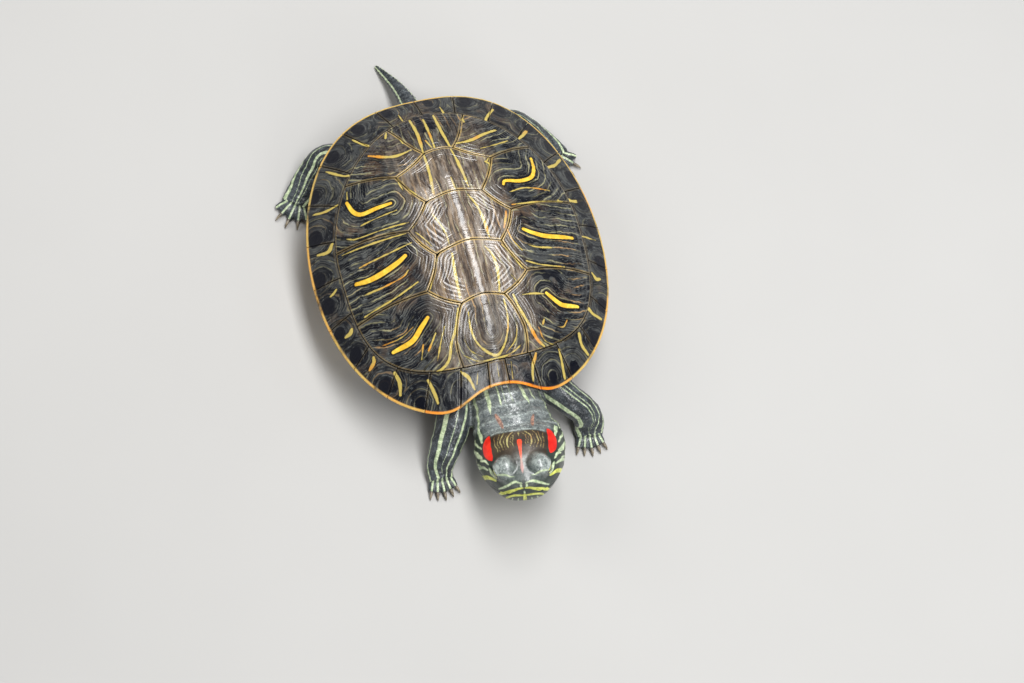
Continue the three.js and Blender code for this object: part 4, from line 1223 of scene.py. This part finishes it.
def web_rings(toes, reach):
    """The web between the toes: a thin fan that draws back between their tips."""
    tips = [root + way * tip * reach for root, way, tip in toes]
    dips = [root + way * tip * reach * 0.82 for root, way, tip in toes]
    edge = [toes[0][0] - toes[0][1]]
    for k, tip in enumerate(tips):
        edge.append(tip)
        if k + 1 < len(tips):
            edge.append((dips[k] + dips[k + 1]) / 2)
    edge = np.array(edge + [toes[-1][0] - toes[-1][1]])
    low, high = (np.column_stack([edge, np.full(len(edge), z)]) for z in (0.32, 1.32))
    return np.array([(low + low.mean(0)) / 2, low, high, (high + high.mean(0)) / 2])


def foot_parts(limb, web):
    toes = toe_lines(limb)
    parts = []
    for root, way, tip in toes:
        stations = [(-1.5, 1.5, 1.25), (tip * 0.45, 1.35, 1.15), (tip * 0.8, 1.15, 0.98),
                    (tip + 0.1, 0.95, 0.72)]
        parts.append(toe_rings(root, way, 0.92, stations, 16))
    return parts + [web_rings(toes, web)]


def trunk_rings():
    """The body between the shell's plates: shares of the outline's width and length, and heights."""
    rim = outline(np.linspace(-math.pi, math.pi, 90, endpoint=False))
    levels = [(0.50, 0.74, 3.6), (0.68, 0.79, 5.0), (0.76, 0.81, 8.5), (0.79, 0.82, 13.0),
              (0.74, 0.78, 18.5), (0.55, 0.6, 22.5), (0.2, 0.2, 24.0)]
    return np.array([np.column_stack([rim * [wide, long], np.full(len(rim), z)]) for wide, long,
                     z in levels])


def flesh_shapes():
    shapes = [trunk_rings(), sweep(NECK, 64, 60), sweep(TAIL, 32, 60), head_rings()]
    for _, flip in SIDES:
        shapes.append(ball_rings(head_point(BROW_BACK, flip * BROW_SIDE, BROW_UP), BROW_RADIUS))
    for name, limb in LIMBS.items():
        shapes.append(sweep(limb["stations"], 44, 70))
        shapes += foot_parts(limb, 0.92 if name.startswith("hind") else 0.62)
    return shapes


def apply_modifiers(piece):
    graph = bpy.context.evaluated_depsgraph_get()
    mesh = bpy.data.meshes.new_from_object(piece.evaluated_get(graph))
    old = piece.data
    piece.modifiers.clear()
    piece.data = mesh
    bpy.data.meshes.remove(old)


def remesh(piece, voxel):
    modifier = piece.modifiers.new("remesh", "REMESH")
    modifier.mode = "VOXEL"
    modifier.voxel_size = voxel * MM
    modifier = piece.modifiers.new("smooth", "SMOOTH")
    modifier.iterations = 3
    modifier.factor = 0.5
    apply_modifiers(piece)


def thin_hidden(piece, triangles):
    """Collapse the skin's faces inside the shell, where nothing shows, until so many triangles are left."""
    now = sum(len(p.vertices) - 2 for p in piece.data.polygons)
    x, y, z = np.abs(points_of(piece.data)).T
    high, low = (z > 15) & (x < 36), (z < 4.6) & (x < 30)
    hidden = np.flatnonzero((y < 16) | ((y < 36) & (high | low)))
    piece.vertex_groups.new(name="hidden").add(hidden.tolist(), 1.0, "REPLACE")
    modifier = piece.modifiers.new("thin", "DECIMATE")
    modifier.ratio = min(1.0, triangles / now)
    modifier.vertex_group = "hidden"
    apply_modifiers(piece)
    piece.vertex_groups.clear()


def points_of(mesh):
    out = np.empty(len(mesh.vertices) * 3)
    mesh.vertices.foreach_get("co", out)
    return out.reshape(-1, 3) / MM


def normals_of(mesh):
    out = np.empty(len(mesh.vertices) * 3)
    mesh.vertex_normals.foreach_get("vector", out)
    return out.reshape(-1, 3)


def limb_coordinates(points, stations):
    """For each point: its distance to a limb's line in radii, its share along it, its angle, the radius."""
    steps = 120
    line, across, up = limb_line(stations, steps)
    best = np.full(len(points), 1e9)
    index = np.zeros(len(points), int)
    for k in range(steps):
        d = ((points - line[k, :3]) ** 2).sum(1) / max(line[k, 3:5]) ** 2
        index = np.where(d < best, k, index)
        best = np.minimum(d, best)
    offset = points - line[index, :3]
    angle = np.arctan2((offset * up[index]).sum(1), (offset * across[index]).sum(1))
    return np.sqrt(best), index / (steps - 1), angle, line[index, 3]


def lengthwise_stripes(angle, radius, stripes):
    """Distance in millimetres to the nearest of some lengthwise stripes, less half its width."""
    field = np.full(len(angle), FAR)
    for centre, width in zip(*stripes):
        gap = np.abs((angle - centre + math.pi) % TURN - math.pi) * radius
        field = np.minimum(field, gap - width / 2)
    return field


# ---- Head
def eye_frame(flip):
    """An eyeball's centre, and the directions outwards, forwards along the lids and upwards."""
    centre = head_point(EYE_BACK, EYE_SIDE * flip, EYE_UP)
    f, o, u = EYE_AXIS_LOCAL / np.linalg.norm(EYE_AXIS_LOCAL)
    axis = FORWARD * f + SIDE * o * flip + UP * u
    along = FORWARD - axis * (FORWARD @ axis)
    along /= np.linalg.norm(along)
    up = np.cross(along, axis)
    return centre, axis, along, up * np.sign(up @ UP)


def mouth_height(back):
    return np.interp(back, [-1, 0, 0.8, 2.5, 6, 10, 13.5, 15],
                     [-4.9, -4.95, -5.05, -5.5, -6.5, -7.1, -6.9, -6.5])


def open_eye(points, flip):
    """Sink the skin inside a lid opening, and raise a rim round it."""
    centre, axis, along, up = eye_frame(flip)
    d = points - centre
    r = np.linalg.norm(d, axis=1)
    unit = d / np.maximum(r, 1e-6)[:, None]
    lift = unit @ up
    shape = np.hypot(unit @ along / 0.66, lift / np.where(lift > 0, 0.40, 0.36))
    near = (unit @ axis > 0.1) & (r < 6.0)
    lid = np.maximum(r, np.where(shape < 1.5, EYE_RADIUS + 0.16, 0))
    lid += 0.16 * bell(shape, 1.22, 0.16) - 0.14 * bell(shape, 1.62, 0.12)
    sink = ramp(shape, 1.06, -0.14)
    new_r = lid * (1 - sink) + np.minimum(r, EYE_RADIUS - 0.55) * sink
    return np.where(near[:, None], centre + unit * new_r[:, None], points)


def shape_head(points, normals, share):
    """Mouth line, nostrils, the beak's notch and the ear's disc."""
    back, left, above = head_local(points)
    side = np.abs(left)
    gap = above - mouth_height(back)
    push = -0.42 * bell(gap, 0, 0.24) * ramp(back, 14.0, -3.0)
    push += 0.16 * bell(gap, 0.45, 0.45) * (back < 12)
    push -= 0.55 * bell(side, 0.95, 0.34) * bell(above, -0.75, 0.32) * (back < 1.6)
    push -= 0.16 * bell(left, 0, 0.5) * (gap < 0.2) * (gap > -1.2) * (back < 2.5)
    ear = np.hypot((back - 15.2) / 2.3, (above + 4.6) / 2.1)
    push += (0.14 * bell(ear, 1, 0.22) - 0.10 * (ear < 0.9)) * (side > 8)
    return points + normals * (push * share)[:, None]


# The head's lines, as distance behind the nose and arc from the crown's midline, and their widths.
DASHES = [([(18.4, 4.65), (20.0, 4.8), (22.4, 5.2)], 1.1)]
THREADS = [
    ([(10.6, 3.4), (12.5, 3.7), (14.2, 3.5), (15.4, 2.8), (16.2, 1.7)], 0.50),
    ([(10.4, 5.2), (13, 5.5), (15, 5.2), (16.4, 4.4)], 0.34),
    ([(10.3, 6.7), (13, 7.1), (16.0, 6.9)], 0.24),
    ([(10.6, 1.8), (13, 2.1), (14.8, 1.7), (15.7, 0.8)], 0.26),
    ([(13.8, 0.0), (16.3, 0.0)], 0.22),
    ([(11.2, 2.6), (13.4, 2.8), (15.0, 2.1)], 0.20),
    ([(10.4, 4.4), (13.2, 4.6), (15.4, 3.9)], 0.20),
    ([(10.2, 6.1), (13.2, 6.3), (16.2, 5.7)], 0.22),
]
CHEEK_GREEN = [
    ([(11.6, 11.4), (14, 12.6), (16, 13.6), (19, 15.2), (23, 17.0), (27, 18.2)], 1.3),
    ([(16.2, 10.2), (21, 10.9), (27, 11.6)], 0.95),
    ([(10.6, 12.9), (13, 14.3), (15, 15.3), (18, 16.9), (23, 18.8), (27, 19.8)], 0.6),
    ([(14.4, 10.9), (18, 12.4), (22, 13.8), (27, 14.8)], 0.65),
    ([(7.6, 11.6), (9.4, 12.5), (11.5, 14.4), (14.0, 16.4)], 0.75),
    ([(8.6, 10.4), (10.4, 11.0), (11.6, 12.2)], 0.65),
    ([(3.6, 10.7), (5.4, 11.2), (7.6, 10.9)], 0.75),
    ([(3.2, 9.0), (2.3, 6.4), (1.7, 3.9)], 0.3),
]
CHEEK_YELLOW = [
    ([(4.2, 11.7), (6.3, 13.1), (8.2, 14.9), (10, 16.7), (12.5, 18.7), (16, 20.6), (21, 21.6),
      (27, 22)], 1.35),
    ([(8.0, 19.4), (11, 21.6), (15, 23.4), (21, 24.4), (27, 24.8)], 0.9),
    ([(6.0, 26.0), (14, 26.6), (27, 27.0)], 0.8),
]
# The front of the face is marked by distance from the midline and height above the nose.
FACE_GREEN = [
    ([(0.5, -0.15), (2.0, 0.15), (3.3, -0.5), (4.6, -1.7), (5.8, -3.0), (7.2, -4.6)], 0.55),
    ([(0.75, 0.1), (0.85, -1.2), (0.6, -2.3)], 0.62),
    ([(0.0, -3.4), (0.0, -4.6)], 0.5),
    ([(6.7, -6.5), (7.2, -8.2), (6.9, -10.0)], 0.5),
    ([(1.9, -7.3), (2.1, -10.8)], 0.42),
    ([(3.5, -7.3), (3.8, -10.2)], 0.42),
]
FACE_YELLOW = [
    ([(0.45, -2.2), (2.0, -2.4), (3.6, -3.4), (5.0, -4.5), (6.2, -5.8), (7.2, -7.6)], 1.15),
    ([(0.0, -5.7), (2.2, -5.7), (3.9, -6.2), (4.9, -7.3), (5.3, -8.6)], 1.0),
    ([(0.0, -5.2), (0.0, -12.2)], 1.1),
    ([(0.2, -12.2), (3.0, -11.9), (5.0, -11.3), (6.2, -9.8)], 0.6),
]
MIDDLE_STRIPE = ([2.2, 2.8, 4.0, 5.0, 6.2, 8, 9.5, 10.8, 12.3, 13.1, 13.5],
                 [0.0, 0.25, 0.5, 0.36, 0.28, 0.32, 0.42, 0.52, 0.74, 0.6, -0.4])


def head_lines(u, v, lines):
    return strokes(np.column_stack([u, v]), lines, 0.4, 0.02)


def red_field(back, left, above, arc, wave):
    """The temple patches, straight towards the crown and rounded outside, and the crown's middle stripe."""
    lead = np.where(left > 0, 12.9, 12.2)
    reach = np.clip(1 - ((back - lead) / np.where(back > lead, 5.0, 3.7)) ** 2, 0, 1)
    inner = 8.15 + 0.9 * ramp(back, lead, -3.7) ** 2
    red = np.maximum(inner + wave * 0.4 - arc, arc - 8.15 - 2.4 * np.sqrt(reach) + 2 * (reach <= 0))
    return np.minimum(red, np.where(above > -1.5, np.abs(left) - np.interp(back, *MIDDLE_STRIPE), FAR))


def head_paleness(back, left, above, arc, wave):
    """Pale skin and painted light: the eyelids, pale with painted shade towards their inner front; painted
    sheen between them and on the snout; a painted highlight on the ridge behind the crown; the nape's grey
    skin with painted highlights on its creases.
    """
    bulge = np.hypot((arc - 5.9) / 3.6, (back - 5.0) / 3.3)
    # The eyelids' paleness drops towards their inner front: painted shade on the domes.
    lids = ramp(bulge, 1.27, -0.55) * (0.55 + 0.45 * np.clip((arc - 3.2) / 3.5 + (back - 4.5) / 6, 0, 1))
    # Paleness between the eyelids and on the snout: painted sheen of wet skin.
    between = bell(left, 0, 2.0) * ramp(back, 2.5, 1.5) * ramp(back, 9.5, -2.5)
    snout = ramp(back, 4.8, -1.5) * ramp(above, -2.4, 1.4)
    # A pale line on the ridge behind the crown: painted highlight of wet skin.
    painted_fold_highlight = bell(back - wave, 16.9, 0.34) * ramp(arc, 8.2, -0.6)
    nape = ramp(back - wave, 17.1, 0.5) * ramp(arc, 10.5, -2)
    # Creases on the nape: painted highlights along their tops.
    creases = np.clip(np.sin(back * 3.1 + 0.35 * np.sin(left * 0.8)), 0, 1) ** 3
    lids = np.maximum(lids, np.maximum(0.42 * between, 0.26 * snout))
    return np.clip(lids * 0.92 + painted_fold_highlight + nape * (0.42 + 0.5 * creases), 0, 0.95), nape


def head_marks(points):
    """The fields of the head's markings, from each point's place on the head."""
    back, left, above = head_local(points)
    side = np.abs(left)
    middle = np.interp(back, HEAD_SECTIONS[:, 0], (HEAD_SECTIONS[:, 2] + HEAD_SECTIONS[:, 3]) / 2)
    arc = np.arctan2(side, above - middle) * 9.0  # grows from the crown's midline to the throat's, 28.3
    wave = 0.16 * np.sin(back * 1.1 + left * 0.7) + 0.10 * np.sin(back * 2.3 - left)
    dashes = head_lines(back, arc, DASHES)
    thread = np.where(arc < 7.9, head_lines(back, arc + wave * 0.8, THREADS), FAR)
    marks = {"dashes": dashes, "thread": thread}
    marks["red"] = np.minimum(red_field(back, left, above, arc, wave), dashes)
    for key, cheek, face in (("stripe", CHEEK_GREEN, FACE_GREEN), ("yellow", CHEEK_YELLOW, FACE_YELLOW)):
        front = np.where(back < 7.5, head_lines(side, above + wave * 0.5, face), FAR)
        marks[key] = np.minimum(head_lines(back, arc + wave * 0.6, cheek), front)
    marks["crown"] = ramp(arc, 8.2, -0.5) * ramp(back - wave, 16.7, -0.4) * ramp(back, 3.6, 2.4)
    marks["pale"], marks["nape"] = head_paleness(back, left, above, arc, wave)
    return marks


# ---- Skin
def neck_skin(points, free, arms):
    """Where the neck is, its stripes, its soft crosswise creases, and its pale grey with painted highlights
    on the crease ridges.
    """
    d, s, angle, radius = limb_coordinates(points, NECK)
    mine = free & (d < 1.35) & (points[:, 1] < -36) & (d < arms + 0.08)
    wave = 0.04 * np.sin(s * 9 + 2 * angle)
    fade = 1.1 * ramp(points[:, 1], -48.5, -4.0) * (np.sin(angle) > 0.5)
    stripes = lengthwise_stripes(angle + wave, radius, NECK_STRIPES) + fade
    phase = np.sin(points[:, 1] * 1.75 + 0.5 * np.sin(points[:, 0] * 0.5) + 0.3 * angle)
    # Grey neck skin on top and sides, with painted highlights on the crease ridges.
    pale = (np.sin(angle) > -0.2) * (0.40 + 0.5 * np.clip(phase, 0, 1) ** 4)
    return mine, stripes, 0.22 * phase**3, pale


def limb_skin(points, free, name, place):
    """Where a limb is, its stripes, which run on along the toes, its bands and wrinkles, and no paleness."""
    d, s, angle, radius = place
    limb = LIMBS[name]
    end = np.array(limb["stations"][-1][:2])
    plan = points[:, :2]
    foot = np.linalg.norm(plan - end, axis=1) < 12
    mine = free & ((d < 1.4) | (foot & (d < 4.5)))
    wave = 0.07 * np.sin(s * 9 + end[0]) + 0.03 * np.sin(s * 27)
    stripes = lengthwise_stripes(angle + wave, np.minimum(radius, 4.2), LIMB_STRIPES[name])
    stripes += 2.0 * np.clip((np.abs(d - 0.97) - 0.42) * 6, 0, 1) * (s < 0.5)
    toes = [to_polyline(plan, [root, root + way * tip])[0] - 0.30 for root, way, tip in toe_lines(limb)]
    on_toes = foot & ((plan - end) @ (np.array(limb["heading"]) / np.hypot(*limb["heading"])) > 0.3)
    toes = np.where(points[:, 2] > 0.9, np.min(toes, 0), FAR)
    bands = 0.10 * np.sin(s * 95) * ramp(s, 0.45, 0.25) * np.clip(np.sin(angle + 0.4), 0, 1) * ~on_toes
    wrinkle = 0.12 * np.sin(s * 42 + 2 * angle) * bell(s, 0.62, 0.09)
    return mine, np.where(on_toes, toes, stripes), bands + wrinkle, 0


def tail_skin(points, free):
    """Where the tail is, its stripes, its rings of scales, and no paleness."""
    d, s, angle, radius = limb_coordinates(points, TAIL)
    mine = free & (d < 1.4) & (points[:, 1] > 40)
    return mine, lengthwise_stripes(angle, radius, TAIL_STRIPES), 0.07 * np.sin(s * 120), 0


def scale_grooves(points, head):
    """How deep the skin sinks between its scales, on the parts that can be seen."""
    away = np.array([noise.voronoi(Vector(p))[0][0] for p in points * SCALE_PITCH])
    visible = (np.abs(points[:, 1]) > 36) | (np.abs(points[:, 0]) > 30)
    return np.where(visible & (head < 0.2), 0.16 * np.clip(away - 0.25, 0, 0.6), 0)


def paint_skin(points, head, marks):
    """The stripes of all the skin, its push along the normals, and the paleness of the neck with its painted
    highlights.
    """
    stripes = np.where(head > 0.5, marks["stripe"], FAR)
    push, pale = np.zeros(len(points)), np.zeros(len(points))
    free = head <= 0.5
    places = {name: limb_coordinates(points, limb["stations"]) for name, limb in LIMBS.items()}
    arms = np.minimum(places["forefoot_left"][0], places["forefoot_right"][0])
    limbs = [(limb_skin, name, place) for name, place in places.items()]
    painters = [(neck_skin, arms), *limbs, (tail_skin,)]
    for painter, *facts in painters:
        mine, *values = painter(points, free, *facts)
        stripes, push, pale = (np.where(mine, new, old) for new, old in zip(values, (stripes, push, pale)))
        free = free & ~mine
    return stripes, push, pale


def skin():
    """One skin over the neck, head, limbs, tail and the body between the shell's two plates."""
    piece = join_closed(flesh_shapes(), "skin")
    remesh(piece, VOXEL)
    thin_hidden(piece, SKIN_TRIANGLES)
    points, normals = points_of(piece.data), normals_of(piece.data)
    back, left, above = head_local(points)
    on_head = ramp(back, 21.5, -2.5) * (points[:, 1] < -45) * (np.abs(left) < 16) * (above > -17)
    head = np.clip(on_head * 1.5, 0, 1)
    for _, flip in SIDES:
        points = open_eye(points, flip)
    points = shape_head(points, normals, on_head)
    marks = head_marks(points)
    on_neck = (head <= 0.5) & (points[:, 1] < -48) & (back < 26)
    fields = {key: np.where(head > 0.5, marks[key], FAR) for key in ("red", "thread", "yellow")}
    fields["red"] = np.where(on_neck, marks["dashes"], fields["red"])
    fields["stripe"], push, neck_pale_and_highlights = paint_skin(points, head, marks)
    push = push - scale_grooves(points, head)
    points = points + normals * push[:, None]
    points[:, 2] = np.maximum(points[:, 2], 0.02)
    piece.data.vertices.foreach_set("co", (points * MM).ravel())
    piece.data.update()
    # The pale field carries pale skin together with painted sheen, shade and highlights on head and neck.
    fields |= {"back": back, "sideways": np.abs(left), "head": head * (1 - marks["nape"]),
               "crown": marks["crown"] * head, "pale": marks["pale"] * head + neck_pale_and_highlights * (1 - head)}
    for key, values in fields.items():
        add_field(piece.data, key, values)
    piece.data.polygons.foreach_set("use_smooth", np.ones(len(piece.data.polygons), bool))
    flesh = ["trunk", "neck", "head", "jaw", "tail"]
    for part in ("upper_arm", "forearm", "forefoot", "thigh", "shank", "hindfoot"):
        flesh += [f"{part}_{side}" for side, _ in SIDES]
    finish_piece(piece, "skin", MATERIAL["skin"], *flesh)


def eye(name, flip):
    """An eyeball with a slightly bulging front."""
    centre, axis, along, up = eye_frame(flip)
    t = np.linspace(0.001, math.pi - 0.001, 64)[:, None, None]
    a = np.linspace(0, TURN, 72, endpoint=False)[None, :, None]
    sphere = np.cos(t) * axis + np.sin(t) * np.cos(a) * along + np.sin(t) * np.sin(a) * up
    points, faces = tube_mesh(centre + EYE_RADIUS * (1 + 0.035 * bell(t, 0, 0.55)) * sphere)
    level = (points - centre) @ up
    out = np.hypot((points - centre) @ along, level)
    piece = new_mesh(f"eyeball_{name}", points, faces, {"out": out, "level": level})
    fix_normals(piece)
    finish_piece(piece, "eyes", MATERIAL["eye"], f"eye_{name}")


def claws(name, limb):
    """The claws of one foot, as one piece; a bare toe has none."""
    shapes, along = [], []
    length = limb["claw"]
    for k, (root, way, tip) in enumerate(toe_lines(limb)):
        if k in limb["bare"]:
            continue
        stations = [(tip - 0.7, 1.02, 0.50), (tip + length * 0.25, 1.22, 0.47),
                    (tip + length * 0.65, 1.02, 0.32),
                    (tip + length * 0.97, 0.42, 0.10)]
        shapes.append(toe_rings(root, way, 1.15, stations, 26))
        rows, sides = shapes[-1].shape[:2]
        along += [np.repeat(np.linspace(0, 1, rows), sides), [0, 1]]
    piece = join_closed(shapes, f"claws_{name}")
    add_field(piece.data, "along", np.concatenate(along))
    fix_normals(piece)
    finish_piece(piece, "claws", MATERIAL["claw"])


skin()
for name, flip in SIDES:
    eye(name, flip)
for name, limb in LIMBS.items():
    claws(name, limb)

# ---- Floor, light and camera -----------------------------------------------------------------------
LIGHT_TARGET = (0, -0.02, 0.02)
CAMERA_AZIMUTH, CAMERA_ELEVATION, CAMERA_ROLL = (math.radians(v) for v in (-29.16, 67.51, -14.78))
CAMERA_DISTANCE, CAMERA_LENS = 0.8, 95.4
CAMERA_SHIFT = 0.0546, -0.0839


def floor():
    mesh = bpy.data.meshes.new("floor")
    mesh.from_pydata([(-3, -3, 0), (3, -3, 0), (3, 3, 0), (-3, 3, 0)], [], [(0, 1, 2, 3)])
    g = Graph("pale_floor")
    color = g.mix(g.noise(9, 3), (0.365, 0.36, 0.35), (0.40, 0.395, 0.385))
    mesh.materials.append(g.set(Base_Color=color, Roughness=0.75))
    add_to_scene("floor", mesh)


def aim(thing, place, axes):
    """Put a light or camera in its place; its axes point right, up and backwards."""
    turn = Matrix(axes).transposed().to_4x4()
    thing.matrix_world = Matrix.Translation(place) @ turn


def area_light(name, place, target, size, power, color=(1, 1, 1), sheen=False, lengthwise=(0, 0, 1)):
    data = bpy.data.lights.new(name, "AREA")
    data.shape, data.size, data.size_y = "RECTANGLE", size[0], size[1]
    data.energy, data.color = power, color
    light = add_to_scene(name, data)
    light.visible_glossy = sheen
    out = (Vector(place) - Vector(target)).normalized()
    along = Vector(lengthwise)
    along = (along - out * along.dot(out)).normalized()
    aim(light, place, (along.cross(out), along, out))


def camera():
    """The photo's view, above the turtle and rolled a little."""
    a, e, r = CAMERA_AZIMUTH, CAMERA_ELEVATION, CAMERA_ROLL
    back = Vector((math.sin(a) * math.cos(e), -math.cos(a) * math.cos(e), math.sin(e)))
    right = Vector((math.cos(a), math.sin(a), 0))
    up = back.cross(right)
    right, up = right * math.cos(r) - up * math.sin(r), right * math.sin(r) + up * math.cos(r)
    data = bpy.data.cameras.new("camera")
    data.lens, data.sensor_width, data.clip_start = CAMERA_LENS, 36, 0.01
    data.shift_x, data.shift_y = CAMERA_SHIFT
    bpy.context.scene.camera = add_to_scene("camera", data)
    aim(bpy.context.scene.camera, Vector((0, 0, RIM_HEIGHT * MM)) + back * CAMERA_DISTANCE,
        (right, up, back))


def studio():
    world = bpy.data.worlds.new("studio")
    world.use_nodes = True
    background = world.node_tree.nodes["Background"].inputs
    background["Color"].default_value = (0.75, 0.78, 0.82, 1)
    background["Strength"].default_value = 0.17
    bpy.context.scene.world = world
    bpy.context.scene.view_settings.view_transform = "Standard"


floor()
area_light("key", (-0.55, 0.35, 0.55), (0, 0, 0.02), (0.5, 0.4), 2.7, (1.0, 0.98, 0.95))
area_light("strip", (0.155, 0.03, 0.80), LIGHT_TARGET, (0.24, 1.15), 12.5, sheen=True, lengthwise=(0, 1, 0))
area_light("fill", (0.62, -0.10, 0.45), LIGHT_TARGET, (0.5, 0.35), 0.8, (0.95, 0.98, 1.0))
area_light("face", (0.10, -0.72, 0.42), (0, -0.06, 0.02), (0.2, 0.3), 1.8, sheen=True)
studio()
camera()
